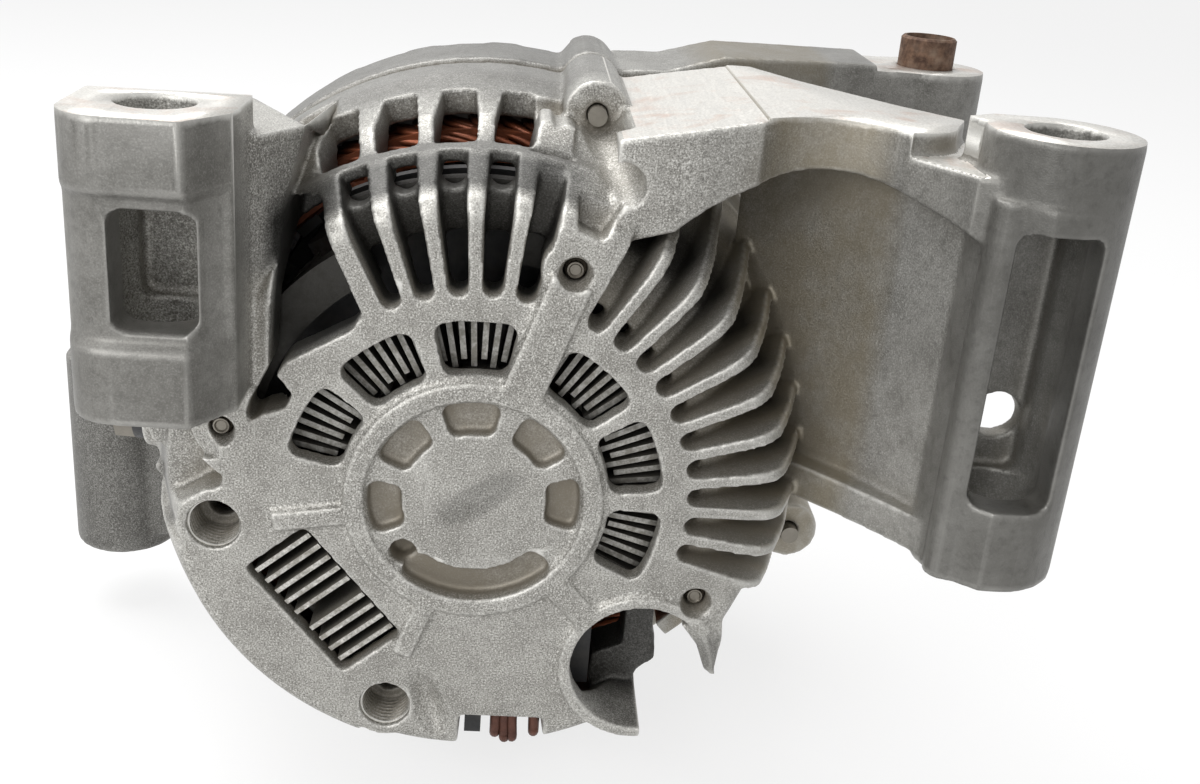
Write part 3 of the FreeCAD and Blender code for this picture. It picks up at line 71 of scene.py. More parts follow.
class Recipe:
    """A node material being put together round one Principled shader."""

    def __init__(self, name, metallic=0.0, roughness=0.5, specular=0.5):
        self.material = bpy.data.materials.new(name)
        self.material.use_nodes = True
        self.tree = self.material.node_tree
        self.tree.nodes.clear()
        self.out = self.tree.nodes.new("ShaderNodeOutputMaterial")
        self.shader = self.tree.nodes.new("ShaderNodeBsdfPrincipled")
        self.shader.inputs["Metallic"].default_value = metallic
        self.shader.inputs["Roughness"].default_value = roughness
        self.shader.inputs["Specular IOR Level"].default_value = specular
        self.join(self.shader.outputs[0], self.out.inputs[0])
        self.place = self.tree.nodes.new("ShaderNodeTexCoord").outputs["Object"]

    def join(self, output, socket):
        """Links an output, or sets a plain value, on a socket."""
        if isinstance(output, bpy.types.NodeSocket):
            self.tree.links.new(output, socket)
        else:
            socket.default_value = output

    def stretched(self, x, y, z):
        """The object's own coordinates, scaled by axis."""
        node = self.tree.nodes.new("ShaderNodeMapping")
        node.inputs["Scale"].default_value = (x, y, z)
        self.join(self.place, node.inputs["Vector"])
        return node.outputs[0]

    def noise(self, size, detail=3.0, rough=0.55, place=None, distortion=0.0):
        """Noise whose features are about size metres wide."""
        node = self.tree.nodes.new("ShaderNodeTexNoise")
        node.inputs["Scale"].default_value = 1.0 / size
        node.inputs["Detail"].default_value = detail
        node.inputs["Roughness"].default_value = rough
        node.inputs["Distortion"].default_value = distortion
        self.join(self.place if place is None else place, node.inputs["Vector"])
        return node.outputs[0]

    def along(self, axis):
        """One coordinate of the object's own place, in metres."""
        node = self.tree.nodes.new("ShaderNodeSeparateXYZ")
        self.join(self.place, node.inputs[0])
        return node.outputs[axis]

    def vector(self, what, a, b=(0, 0, 0)):
        """A vector operation's node."""
        node = self.tree.nodes.new("ShaderNodeVectorMath")
        node.operation = what
        self.join(a, node.inputs[0])
        self.join(b, node.inputs[1])
        return node

    def off_axis(self, x=0.0, z=0.0):
        """Distance in metres from a line along Y through x and z, which are in millimetres."""
        away = self.vector("SUBTRACT", self.place, (x * MM, 0.0, z * MM))
        flat = self.vector("MULTIPLY", away.outputs[0], (1, 0, 1))
        return self.vector("LENGTH", flat.outputs[0]).outputs["Value"]

    def span(self, value, low, high, to_low=0.0, to_high=1.0):
        """Value mapped from low..high to to_low..to_high, held at the ends."""
        node = self.tree.nodes.new("ShaderNodeMapRange")
        self.join(value, node.inputs["Value"])
        numbers = {"From Min": low, "From Max": high, "To Min": to_low, "To Max": to_high}
        for socket, number in numbers.items():
            node.inputs[socket].default_value = number
        return node.outputs[0]

    def fade(self, value, places, to_low=0.0, to_high=1.0):
        """A share that changes from one place to another, both in millimetres."""
        low, high = places
        return self.span(value, low * MM, high * MM, to_low, to_high)

    def less(self, share, level):
        """1 where a share is 0, down to a level where it is 1."""
        return self.span(share, 0.0, 1.0, 1.0, level)

    def math(self, what, a, b=0.0):
        """The outcome of a sum on numbers."""
        node = self.tree.nodes.new("ShaderNodeMath")
        node.operation = what
        self.join(a, node.inputs[0])
        self.join(b, node.inputs[1])
        return node.outputs[0]

    def product(self, first, *others):
        """All the given shares multiplied."""
        for other in others:
            first = self.math("MULTIPLY", first, other)
        return first

    def mix(self, share, a, b):
        """Colour a turned to colour b by a share."""
        node = self.tree.nodes.new("ShaderNodeMix")
        node.data_type = "RGBA"
        self.join(share, node.inputs["Factor"])
        for socket, colour in ((node.inputs[6], a), (node.inputs[7], b)):
            self.join(colour if isinstance(colour, bpy.types.NodeSocket) else (*colour, 1.0), socket)
        return node.outputs[2]

    def hollow(self, distance, samples=6):
        """1 in the open, less in hollows and corners within distance."""
        node = self.tree.nodes.new("ShaderNodeAmbientOcclusion")
        node.samples = samples
        node.inputs["Distance"].default_value = distance
        return node.outputs["AO"]

    def edge(self):
        """Above 0.5 on ridges and below it in grooves of a dense mesh."""
        return self.tree.nodes.new("ShaderNodeNewGeometry").outputs["Pointiness"]

    def facing(self, axis):
        """One component of the surface's own direction."""
        node = self.tree.nodes.new("ShaderNodeSeparateXYZ")
        self.join(self.tree.nodes.new("ShaderNodeNewGeometry").outputs["True Normal"], node.inputs[0])
        return node.outputs[axis]

    def colour(self, value):
        """The base colour, from a node or as one plain colour."""
        plain = not isinstance(value, bpy.types.NodeSocket)
        self.join((*value, 1.0) if plain else value, self.shader.inputs["Base Color"])

    def rough(self, value):
        """The roughness, from a node."""
        self.join(value, self.shader.inputs["Roughness"])

    def bump(self, height, depth, strength=1.0, under=None):
        """Bump of a given depth in metres, over another bump if one is given."""
        node = self.tree.nodes.new("ShaderNodeBump")
        node.inputs["Strength"].default_value = strength
        node.inputs["Distance"].default_value = depth
        self.join(height, node.inputs["Height"])
        if under is not None:
            self.join(under, node.inputs["Normal"])
        return node.outputs[0]

    def normal(self, value):
        """The surface's bump."""
        self.join(value, self.shader.inputs["Normal"])


# Colours of the castings
# the brightest casting colour is for painted glints in the grain and for worn edges with a painted
# highlight
CAST_GLINT_AND_WEAR = (0.70, 0.69, 0.655)
CAST_LIGHT = (0.385, 0.377, 0.350)
CAST_MID = (0.270, 0.262, 0.240)
CAST_DARK = (0.115, 0.109, 0.098)
DIRT = (0.255, 0.226, 0.178)
GREASE = (0.165, 0.145, 0.112)
BROWN = (0.290, 0.242, 0.155)
STAIN = (0.42, 0.27, 0.20)
BLACK = (0.0, 0.0, 0.0)
MILLED_DARK = (0.43, 0.418, 0.388)
MILLED_BRIGHT = (0.63, 0.615, 0.58)

# Colours of the heat-sink plates, with their painted highlight and painted shade
PLATE_SIDE = (0.40, 0.375, 0.325)
PLATE_SIDE_DARK = (0.27, 0.245, 0.205)
PLATE_RIM_HIGHLIGHT = (0.62, 0.61, 0.57)
PLATE_RIM_HIGHLIGHT_DARK = (0.30, 0.29, 0.265)
PLATE_WORN = (0.17, 0.155, 0.125)
PLATE_DEEP_SHADE = (0.03, 0.028, 0.024)

# Colours of steel, iron, copper, plastic and carbon, with painted shade for the hollows of steel and copper
STEEL_HOLLOW_SHADE = (0.07, 0.055, 0.04)
SCALE_DARK = (0.055, 0.028, 0.017)
SCALE = (0.145, 0.082, 0.050)
BARE_SPOT = (0.23, 0.165, 0.12)
COPPER_HOLLOW_SHADE = (0.03, 0.015, 0.01)
SHEET_DARK = (0.10, 0.095, 0.09)
SHEET_LIGHT = (0.24, 0.23, 0.22)
SHEET_RUST = (0.16, 0.08, 0.045)
IRON_DARK = (0.07, 0.068, 0.065)
IRON_LIGHT = (0.16, 0.155, 0.15)
IRON_RUST = (0.12, 0.06, 0.035)
PLASTIC_DUST = (0.085, 0.075, 0.06)
CARBON_DARK = (0.02, 0.02, 0.02)
CARBON_LIGHT = (0.06, 0.058, 0.055)

# Places, in millimetres, between which the castings' skin changes. The rear face is at y = 0.
FACE_FROM_ARMS_Y = (-12, -3)
FACE_TO_ARM_X = (30, 60)
BOSS_FRONT_Y = (-14, -3)
BOSS_X = (50, 85)
SHOULDER_X = (16, 46)
SHOULDER_Z = (18, 38)
FRONT_BRACKET_Y = (60, 72)
HORN_XZ = (47, -32)
HORN_R = (6, 9)
CROWN_Y = (27, 42)
CROWN_X = (24, 18)
WEB_Y = (4, 8)
WEB_LEFT_X = (38, 45)
WEB_RIGHT_X = (71, 68)
CUPS_R = (20.5, 19.8)
CUPS_Y = (0.5, 1.8)
INSIDE_R = (60, 56)
INSIDE_REAR_Y = (7, 14)
INSIDE_FRONT_Y = (94, 88)
CHANNEL_R = (62.5, 59)
CHANNEL_REAR_Y = (1.8, 5.0)
CHANNEL_FRONT_Y = (44, 34)
CHANNEL_Z = (20, 28)
CHANNEL_X = (20, 12)

# How much of its brightness the skin keeps in those places; towards the right boss, at the horn, on the
# crown and inside, the loss is painted shade
BOSS_FRONT_LEVEL = 0.52
RIGHT_BOSS_SHADE_LEVEL = 0.86
SHOULDER_LEVEL = 0.75
FRONT_BRACKET_LEVEL = 0.76
HORN_SHADE_LEVEL = 0.62
CROWN_SHADE_LEVEL = 0.56
INSIDE_SHADE_LEVEL = 0.20

# The smear on the pad: the way it runs in x and z, its centre along that way, and its size
SMEAR_WAY = (0.82, 0.57)
SMEAR_CENTRE = 1.0
SMEAR_HALF_LENGTH = 9.5
SMEAR_HALF_WIDTH = 3.2
SMEAR_Y = (0.4, 0.2)


def web_film(r, x, y, cloud):
    """Share of brown film: it lies on the web next to the fins."""
    return r.product(r.fade(y, WEB_Y), r.fade(x, WEB_RIGHT_X), r.fade(x, WEB_LEFT_X),
                     r.span(cloud, 0.34, 0.56, 0.32, 0.55))


def cup_grease(r, y, cloud):
    """Share of old grease: it lies in the cups round the pad."""
    return r.product(r.fade(r.off_axis(), CUPS_R), r.fade(y, CUPS_Y), r.span(cloud, 0.34, 0.6, 0.5, 0.9))


def skin_and_shade_level(r, x, y, z):
    """How bright the skin stays: it is darker on the arms and the front bracket, and painted shade darkens
    it towards the right boss, at one horn and on the crown.
    """
    shoulder = r.product(r.fade(x, SHOULDER_X), r.fade(z, SHOULDER_Z, 0.25, 1.0))
    crown = r.product(r.fade(y, CROWN_Y), r.fade(x, CROWN_X))
    return r.product(r.fade(y, BOSS_FRONT_Y, BOSS_FRONT_LEVEL, 1.0), r.less(shoulder, SHOULDER_LEVEL),
                     r.fade(x, BOSS_X, 1.0, RIGHT_BOSS_SHADE_LEVEL),
                     r.fade(y, FRONT_BRACKET_Y, 1.0, FRONT_BRACKET_LEVEL),
                     r.fade(r.off_axis(*HORN_XZ), HORN_R, HORN_SHADE_LEVEL, 1.0), r.less(crown, CROWN_SHADE_LEVEL))


def shade_inside(r, x, y, z):
    """Share of painted shade: inside the housing, and between the upper fins."""
    inside = r.product(r.fade(r.off_axis(), INSIDE_R), r.fade(y, INSIDE_REAR_Y), r.fade(y, INSIDE_FRONT_Y))
    channel = r.product(r.fade(r.off_axis(), CHANNEL_R), r.fade(y, CHANNEL_REAR_Y), r.fade(z, CHANNEL_Z),
                        r.fade(x, CHANNEL_X), r.fade(y, CHANNEL_FRONT_Y))
    return r.math("MAXIMUM", inside, channel)


def pad_smear(r, x, y, z, coarse):
    """Share of a dark ragged oval across the middle of the pad."""
    way_x, way_z = SMEAR_WAY
    along = r.math("ADD", r.math("MULTIPLY", x, way_x), r.math("MULTIPLY", z, way_z))
    across = r.math("ADD", r.math("MULTIPLY", x, -way_z), r.math("MULTIPLY", z, way_x))
    length = r.math("DIVIDE", r.math("SUBTRACT", along, SMEAR_CENTRE * MM), SMEAR_HALF_LENGTH * MM)
    width = r.math("DIVIDE", across, SMEAR_HALF_WIDTH * MM)
    oval = r.math("ADD", r.math("POWER", length, 2.0), r.math("POWER", width, 2.0))
    ragged = r.math("ADD", oval, r.span(coarse, 0.3, 0.7, -0.4, 0.4))
    return r.product(r.span(ragged, 1.15, 0.55, 0.0, 0.30), r.fade(y, SMEAR_Y))


def cast_aluminium():
    """Blasted and weathered die casting: grain with painted glints, mottled tone, brown dirt in the
    hollows, painted shade in dark places, and worn edges with a painted highlight.
    """
    r = Recipe("cast_aluminium", metallic=0.6, roughness=0.5)
    x = r.along(0)
    y = r.along(1)
    z = r.along(2)
    grain = r.noise(0.31 * MM, 2.0, 0.7)
    coarse = r.noise(1.6 * MM, 3.0, 0.6)
    cloud = r.noise(10 * MM, 5.0, 0.62)
    patch = r.noise(38 * MM, 3.0, 0.55, distortion=0.6)
    # the rear face is blasted, with dark pits and bright specks in its grain; the arms have kept their
    # smoother, duller skin
    blasted = r.product(r.fade(y, FACE_FROM_ARMS_Y, 0.3, 1.0), r.fade(x, FACE_TO_ARM_X, 1.0, 0.4))
    tone = r.mix(r.span(cloud, 0.38, 0.66), CAST_LIGHT, CAST_MID)
    tone = r.mix(r.product(blasted, r.span(grain, 0.50, 0.35, 0.0, 0.85)), tone, CAST_DARK)
    # painted glints: the bright specks stand in for the sparkle of the blasted face
    tone = r.mix(r.product(blasted, r.span(grain, 0.54, 0.67, 0.0, 0.9)), tone, CAST_GLINT_AND_WEAR)
    tone = r.mix(r.span(coarse, 0.5, 0.7, 0.0, 0.3), tone, CAST_DARK)
    tone = r.mix(web_film(r, x, y, cloud), tone, BROWN)
    tone = r.mix(cup_grease(r, y, cloud), tone, GREASE)
    # painted shade inside the housing and between the upper fins
    inside_shade = shade_inside(r, x, y, z)
    smear = pad_smear(r, x, y, z, coarse)
    # painted shade, the darker arms and front bracket, and the pad's smear take the tone towards black
    level = r.product(skin_and_shade_level(r, x, y, z), r.less(inside_shade, INSIDE_SHADE_LEVEL), r.math("SUBTRACT", 1.0, smear))
    tone = r.mix(r.less(level, 0.0), tone, BLACK)
    grime = r.product(r.span(r.hollow(9 * MM, 8), 0.20, 0.80, 1.0, 0.0),
                      r.span(patch, 0.35, 0.6, 0.40, 0.85), r.less(inside_shade, 0.1))
    tone = r.mix(grime, tone, DIRT)
    # edges painted bright: wear, and a painted highlight that fades where the tone is held darker
    edge_wear_and_highlight = r.product(r.span(r.edge(), 0.512, 0.57, 0.0, 0.8), r.span(level, 0.2, 1.0))
    r.colour(r.mix(edge_wear_and_highlight, tone, CAST_GLINT_AND_WEAR))
    r.rough(r.math("ADD", r.span(grain, 0.3, 0.7, 0.36, 0.56), r.span(grime, 0.0, 1.0, 0.0, 0.25)))
    lumps = r.bump(coarse, 0.05 * MM, 0.6)
    r.normal(r.bump(grain, 0.07 * MM, 0.8, lumps))
    return r.material


def machined_aluminium():
    """Milled boss ends: bright, with faint cutter lines and rusty smears."""
    r = Recipe("machined_aluminium", metallic=0.55, roughness=0.42)
    lines = r.noise(0.5 * MM, 2.0, 0.6, r.stretched(1.0, 0.06, 1.0))
    smear = r.noise(11 * MM, 4.0, 0.62, distortion=0.8)
    fleck = r.noise(0.4 * MM, 2.0, 0.6)
    tone = r.mix(r.span(fleck, 0.3, 0.7), MILLED_DARK, MILLED_BRIGHT)
    tone = r.mix(r.span(smear, 0.52, 0.70, 0.0, 0.5), tone, STAIN)
    r.colour(tone)
    r.rough(r.span(lines, 0.3, 0.7, 0.33, 0.5))
    r.normal(r.bump(lines, 0.03 * MM, 0.4))
    return r.material


def steel(name, tint, roughness, turned=False):
    """Bare or plated steel with painted shade in its hollows; turned parts carry fine rings round the
    shaft.
    """
    r = Recipe(name, metallic=0.9, roughness=roughness)
    place = r.stretched(0.05, 1.0, 0.05) if turned else r.stretched(1, 1, 1)
    scratch = r.noise(0.22 * MM, 3.0, 0.65, place)
    cloud = r.noise(4 * MM, 4.0, 0.6)
    dark = tuple(0.62 * c for c in tint)
    tone = r.mix(r.span(cloud, 0.4, 0.7, 0.0, 0.7), tint, dark)
    # painted shade: hollows within 3 mm turn dark brown
    tone = r.mix(r.span(r.hollow(3 * MM, 4), 0.3, 0.8, 0.7, 0.0), tone, STEEL_HOLLOW_SHADE)
    r.colour(tone)
    r.rough(r.span(scratch, 0.3, 0.7, roughness - 0.09, roughness + 0.12))
    r.normal(r.bump(scratch, 0.02 * MM, 0.5))
    return r.material


def rusty_steel():
    """Rusted bush: brown scale with darker pits and a few bare spots."""
    r = Recipe("rusty_steel", metallic=0.25, roughness=0.75)
    scale = r.noise(1.6 * MM, 4.0, 0.65)
    cloud = r.noise(6 * MM, 3.0, 0.6)
    tone = r.mix(r.span(scale, 0.35, 0.65), SCALE_DARK, SCALE)
    tone = r.mix(r.span(cloud, 0.52, 0.66, 0.0, 0.6), tone, BARE_SPOT)
    r.colour(tone)
    r.rough(r.span(scale, 0.3, 0.7, 0.85, 0.6))
    r.normal(r.bump(scale, 0.12 * MM, 0.7))
    return r.material


def copper(name, tint, metallic, roughness):
    """Copper, bare or under brown enamel, with painted shade in its hollows."""
    r = Recipe(name, metallic=metallic, roughness=roughness)
    shade = r.noise(3 * MM, 3.0, 0.6)
    fine = r.noise(0.5 * MM, 2.0, 0.6)
    dark = tuple(0.35 * c for c in tint)
    tone = r.mix(r.span(shade, 0.4, 0.7, 0.0, 0.75), tint, dark)
    # painted shade: hollows within 4 mm turn almost black
    tone = r.mix(r.span(r.hollow(4 * MM, 4), 0.2, 0.8, 0.8, 0.0), tone, COPPER_HOLLOW_SHADE)
    r.colour(tone)
    r.rough(r.span(fine, 0.3, 0.7, roughness - 0.08, roughness + 0.15))
    r.normal(r.bump(fine, 0.03 * MM, 0.4))
    return r.material


def laminated_steel():
    """Edges of stacked sheets: fine lines across the shaft, lacquered and a little rusty."""
    r = Recipe("laminated_steel", metallic=0.7, roughness=0.5)
    lines = r.noise(0.5 * MM, 1.0, 0.5, r.stretched(0.02, 1.0, 0.02))
    cloud = r.noise(9 * MM, 4.0, 0.6)
    tone = r.mix(r.span(lines, 0.35, 0.65), SHEET_DARK, SHEET_LIGHT)
    tone = r.mix(r.span(cloud, 0.5, 0.7, 0.0, 0.6), tone, SHEET_RUST)
    r.colour(tone)
    r.rough(r.span(cloud, 0.3, 0.7, 0.4, 0.7))
    r.normal(r.bump(lines, 0.06 * MM, 0.7))
    return r.material


def forged_iron():
    """Dark forged pole iron."""
    r = Recipe("forged_iron", metallic=0.6, roughness=0.55)
    grain = r.noise(0.8 * MM, 3.0, 0.6)
    cloud = r.noise(10 * MM, 4.0, 0.6)
    tone = r.mix(r.span(grain, 0.3, 0.7), IRON_DARK, IRON_LIGHT)
    tone = r.mix(r.span(cloud, 0.5, 0.7, 0.0, 0.6), tone, IRON_RUST)
    r.colour(tone)
    r.rough(r.span(grain, 0.3, 0.7, 0.45, 0.7))
    r.normal(r.bump(grain, 0.08 * MM, 0.6))
    return r.material


def moulded_plastic(name, tint):
    """Glass-filled black moulding with a dusty bloom."""
    r = Recipe(name, metallic=0.0, roughness=0.45)
    fibre = r.noise(0.6 * MM, 3.0, 0.6)
    dust = r.noise(7 * MM, 4.0, 0.6)
    r.colour(r.mix(r.span(dust, 0.45, 0.75, 0.0, 0.55), tint, PLASTIC_DUST))
    r.rough(r.span(fibre, 0.3, 0.7, 0.38, 0.62))
    r.normal(r.bump(fibre, 0.04 * MM, 0.5))
    return r.material


def sheet_aluminium(name, shade, shade_y):
    """Dull plates: beige-grey sides, speckled rims painted bright where they face -Y as a painted
    highlight, all darkened by the shade factor, and painted shade in hollows and beyond the given y in
    millimetres.
    """
    r = Recipe(name, metallic=0.5, roughness=0.45)
    grain = r.noise(0.5 * MM, 3.0, 0.6)
    cloud = r.noise(5 * MM, 3.0, 0.6)
    side = r.mix(r.span(cloud, 0.4, 0.7), PLATE_SIDE, PLATE_SIDE_DARK)
    wear = r.noise(2.2 * MM, 3.0, 0.7)
    rim_highlight = r.mix(r.span(grain, 0.35, 0.65), PLATE_RIM_HIGHLIGHT_DARK, PLATE_RIM_HIGHLIGHT)
    rim_highlight = r.mix(r.span(wear, 0.45, 0.62, 0.0, 0.65), rim_highlight, PLATE_WORN)
    # painted highlight: faces that look towards -Y take the bright rim colours, the rest the side colours
    tone = r.mix(r.span(r.facing(1), -0.7, -0.95), side, rim_highlight)
    # painted shade: hollows within 8 mm and everything beyond the given y turn almost black
    deep_shade = r.math("MAXIMUM", r.span(r.hollow(8 * MM, 8), 0.15, 0.70, 0.85, 0.0),
                    r.fade(r.along(1), (shade_y, shade_y + 4), 0.0, 0.92))
    tone = r.mix(1.0 - shade, tone, BLACK)
    r.colour(r.mix(deep_shade, tone, PLATE_DEEP_SHADE))
    r.rough(r.span(grain, 0.3, 0.7, 0.35, 0.6))
    r.normal(r.bump(grain, 0.04 * MM, 0.5))
    return r.material


def carbon():
    """Matt pressed carbon of the brushes."""
    r = Recipe("carbon", metallic=0.1, roughness=0.6)
    grain = r.noise(0.4 * MM, 3.0, 0.6)
    r.colour(r.mix(r.span(grain, 0.3, 0.7), CARBON_DARK, CARBON_LIGHT))
    r.rough(r.span(grain, 0.3, 0.7, 0.45, 0.7))
    r.normal(r.bump(grain, 0.03 * MM, 0.5))
    return r.material


ALUMINIUM = cast_aluminium()
finish = {
    "cast_aluminium": ALUMINIUM,
    "machined_steel": steel("machined_steel", (0.52, 0.51, 0.49), 0.3, turned=True),
    "zinc_plated_steel": steel("zinc_plated_steel", (0.25, 0.232, 0.20), 0.42),
    "bearing_steel": steel("bearing_steel", (0.58, 0.58, 0.57), 0.22, turned=True),
    "spring_steel": steel("spring_steel", (0.40, 0.39, 0.37), 0.35),
    "laminated_steel": laminated_steel(),
    "forged_iron": forged_iron(),
    "enamelled_copper": copper("enamelled_copper", (0.30, 0.085, 0.035), 0.45, 0.38),
    "copper": copper("copper", (0.62, 0.30, 0.18), 0.85, 0.3),
    "extruded_aluminium": sheet_aluminium("extruded_aluminium", 0.78, 9),
    "black_plastic": moulded_plastic("black_plastic", (0.022, 0.022, 0.023)),
    "carbon": carbon(),
    "rusty_steel": rusty_steel(),
}
MACHINED = machined_aluminium()
PLATE_FINS = sheet_aluminium("plate_fins", 1.0, 40)
LACQUERED = copper("lacquered_copper", (0.13, 0.050, 0.032), 0.35, 0.45)


def dress(obj, *materials):
    """Gives an object its materials in place of any it has."""
    obj.data.materials.clear()
    for material in materials:
        obj.data.materials.append(material)


for part in frame["record"]["subparts"]:
    dress(nodes[part["node"]], finish[part["material_slot"]])
dress(nodes["regulator_heat_sink"], PLATE_FINS)


# Meshes

def added(name, data):
    """A new object in the scene."""
    obj = bpy.data.objects.new(name, data)
    bpy.context.scene.collection.objects.link(obj)
    return obj


def smoothed(mesh):
    """Shades every face of a mesh smooth."""
    mesh.polygons.foreach_set("use_smooth", np.ones(len(mesh.polygons), bool))


def points_of(mesh):
    """The vertices of a mesh as rows of an array."""
    co = np.empty(len(mesh.vertices) * 3)
    mesh.vertices.foreach_get("co", co)
    return co.reshape(-1, 3)


def set_points(mesh, co):
    """Moves the vertices of a mesh to the rows of an array."""
    mesh.vertices.foreach_set("co", co.ravel())
    mesh.update()


def modified(obj):
    """Takes the result of an object's modifiers as its mesh."""
    mesh = bpy.data.meshes.new_from_object(obj.evaluated_get(bpy.context.evaluated_depsgraph_get()))
    obj.modifiers.clear()
    obj.data = mesh


def region(x0, x1, y0, y1, z0, z1):
    """Low and high corner of a box given in millimetres."""
    return (x0 * MM, y0 * MM, z0 * MM), (x1 * MM, y1 * MM, z1 * MM)


def within(co, low, high):
    """Which rows of an array lie in a box."""
    return np.all((co >= np.array(low)) & (co <= np.array(high)), axis=1)


def holds(low, high, point):
    """Whether a box holds a point."""
    return all(low[k] <= point[k] <= high[k] for k in range(3))


# Castings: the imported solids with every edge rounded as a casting's are

REAR_TRIANGLES = 195000
FRONT_TRIANGLES = 120000
VOXEL = 0.5 * MM
FRONT_VOXEL = 1.3 * VOXEL
REAR_ROUNDS = 3
FRONT_ROUNDS = REAR_ROUNDS + 1
WELD = 0.002 * MM
SOFTENING = 0.5

# Vertices within END_VOXELS of a milled end are set level with it. Faces within END_SLACK of it that are
# level to END_UP get the milled finish, and so do faces in the boxes of arm tops that are level to the last
# limit here: milled metal, and partly a painted highlight of the light from above.
END_UP = 0.97
END_SLACK = 0.2 * MM
END_VOXELS = 0.8
LIT_TOP_UP = 0.93

# Heights of the milled ends, and how tall each boss is, in millimetres
LEFT_TOP = 67.6
LEFT_TALL = 48.0
RIGHT_TOP = 73.0
RIGHT_TALL = 76.0
ARM_TOP = 69.5
FRONT_RIGHT_TOP = 68.3
FRONT_RIGHT_TALL = 44.0

# Where the bosses and the right arm stand in x and y
LEFT_BOSS = (-65, -37, -21, 8)
RIGHT_BOSS = (75, 105, -20, 10)
RIGHT_ARM = (45, 90, -10, 63)
FRONT_RIGHT_BOSS = (80, 108, 77, 105)
# level arm tops with the bright milled finish: milled metal, and partly a painted highlight of the light
# from above
ARM_TOPS_MILLED_AND_LIT = region(20, 90, -10, 63, 63.5, 70.5)

# The left arm's top falls away behind the boss in two planes: for each, where it starts in y, a place
# on it, and its rise by millimetre of x and of y
ARM_X = (-66, -31)
ARM_END_Y = 51
ARM_Z = (48, 80)
ARM_PLANES = ((4, (-38.9, 12, 65.5), -0.484, -0.286), (6.5, (0.0, 4, 67.4), 0.0, -0.193))

# The left boss's front is set back between two ledges
NICHE_X = (-67, -38.6)
NICHE_Z = (31.6, 56.5)
NICHE_Y = (-9, -16)
NICHE_LEDGE = 1.4
NICHE_DEPTH = 1.7

# The scoop beside the lower service hole; it fades out from the face to SCOOP_Y
SCOOP_XZ = (-6.6, -43.0)
SCOOP_DEGREES = -74
SCOOP_HALF_LENGTH = 9.0
SCOOP_HALF_WIDTH = 3.4
SCOOP_DEPTH = 2.4
SCOOP_Y = 6


def soften(mesh, rounds):
    """Moves each vertex towards the mean of its neighbours, which rounds edges and leaves flats flat."""
    pairs = np.empty(len(mesh.edges) * 2, np.int64)
    mesh.edges.foreach_get("vertices", pairs)
    pairs = pairs.reshape(-1, 2)
    co = points_of(mesh)
    count = len(co)
    degree = np.bincount(pairs.ravel(), minlength=count).astype(float)
    for _ in range(rounds):
        mean = np.empty_like(co)
        for axis in range(3):
            mean[:, axis] = np.bincount(pairs[:, 0], co[pairs[:, 1], axis], count)
            mean[:, axis] += np.bincount(pairs[:, 1], co[pairs[:, 0], axis], count)
        co += SOFTENING * (mean / degree[:, None] - co)
    set_points(mesh, co)


def remeshed(source, voxel, name):
    """One closed even mesh of a CAD node."""
    obj = added(name, source.data.copy())
    work = bmesh.new()
    work.from_mesh(obj.data)
    bmesh.ops.remove_doubles(work, verts=work.verts, dist=WELD)
    work.to_mesh(obj.data)
    work.free()
    even = obj.modifiers.new("even", "REMESH")
    even.mode = "VOXEL"
    even.voxel_size = voxel
    modified(obj)
    return obj


def thinned(obj, most):
    """Brings a mesh under a number of triangles."""
    triangles = sum(len(p.vertices) - 2 for p in obj.data.polygons)
    if triangles > most:
        fewer = obj.modifiers.new("fewer", "DECIMATE")
        fewer.ratio = most / triangles
        modified(obj)


def sloped(co, box, place, rise_x, rise_y):
    """Brings the vertices of a box down to a plane through a place, given in millimetres."""
    x, y, z = place
    at_origin = (z - rise_x * x - rise_y * y) * MM
    top = at_origin + rise_x * co[:, 0] + rise_y * co[:, 1]
    over = within(co, *box) & (co[:, 2] > top)
    co[over, 2] = top[over]


def set_back(co):
    """Sets the front of the left boss back, with a soft ledge round the niche."""
    room_x = np.minimum(co[:, 0] - NICHE_X[0] * MM, NICHE_X[1] * MM - co[:, 0])
    room_z = np.minimum(co[:, 2] - NICHE_Z[0] * MM, NICHE_Z[1] * MM - co[:, 2])
    share = np.clip(np.minimum(room_x, room_z) / (NICHE_LEDGE * MM), 0, 1)
    start, full = NICHE_Y
    share = share * share * (3 - 2 * share) * np.clip((start * MM - co[:, 1]) / ((start - full) * MM), 0, 1)
    co[:, 1] += NICHE_DEPTH * MM * share


def scooped(co):
    """Presses an oval scoop into the rear face."""
    a = math.radians(SCOOP_DEGREES)
    x = co[:, 0] - SCOOP_XZ[0] * MM
    z = co[:, 2] - SCOOP_XZ[1] * MM
    along = (x * math.cos(a) + z * math.sin(a)) / (SCOOP_HALF_LENGTH * MM)
    across = (z * math.cos(a) - x * math.sin(a)) / (SCOOP_HALF_WIDTH * MM)
    share = np.clip(1 - along ** 2 - across ** 2, 0, 1) ** 1.5
    share *= np.clip((SCOOP_Y * MM - co[:, 1]) / (SCOOP_Y * MM), 0, 1)
    co[:, 1] += SCOOP_DEPTH * MM * share


def shape_rear(co):
    """Forms of the rear bracket that the solid leaves plain."""
    for start_y, place, rise_x, rise_y in ARM_PLANES:
        sloped(co, region(*ARM_X, start_y, ARM_END_Y, *ARM_Z), place, rise_x, rise_y)
    set_back(co)
    scooped(co)


def flat_end(height, x0, x1, y0, y1):
    """A milled end: its height in metres and the box round it, from millimetres."""
    return height * MM, *region(x0, x1, y0, y1, height - 1, height + 1)


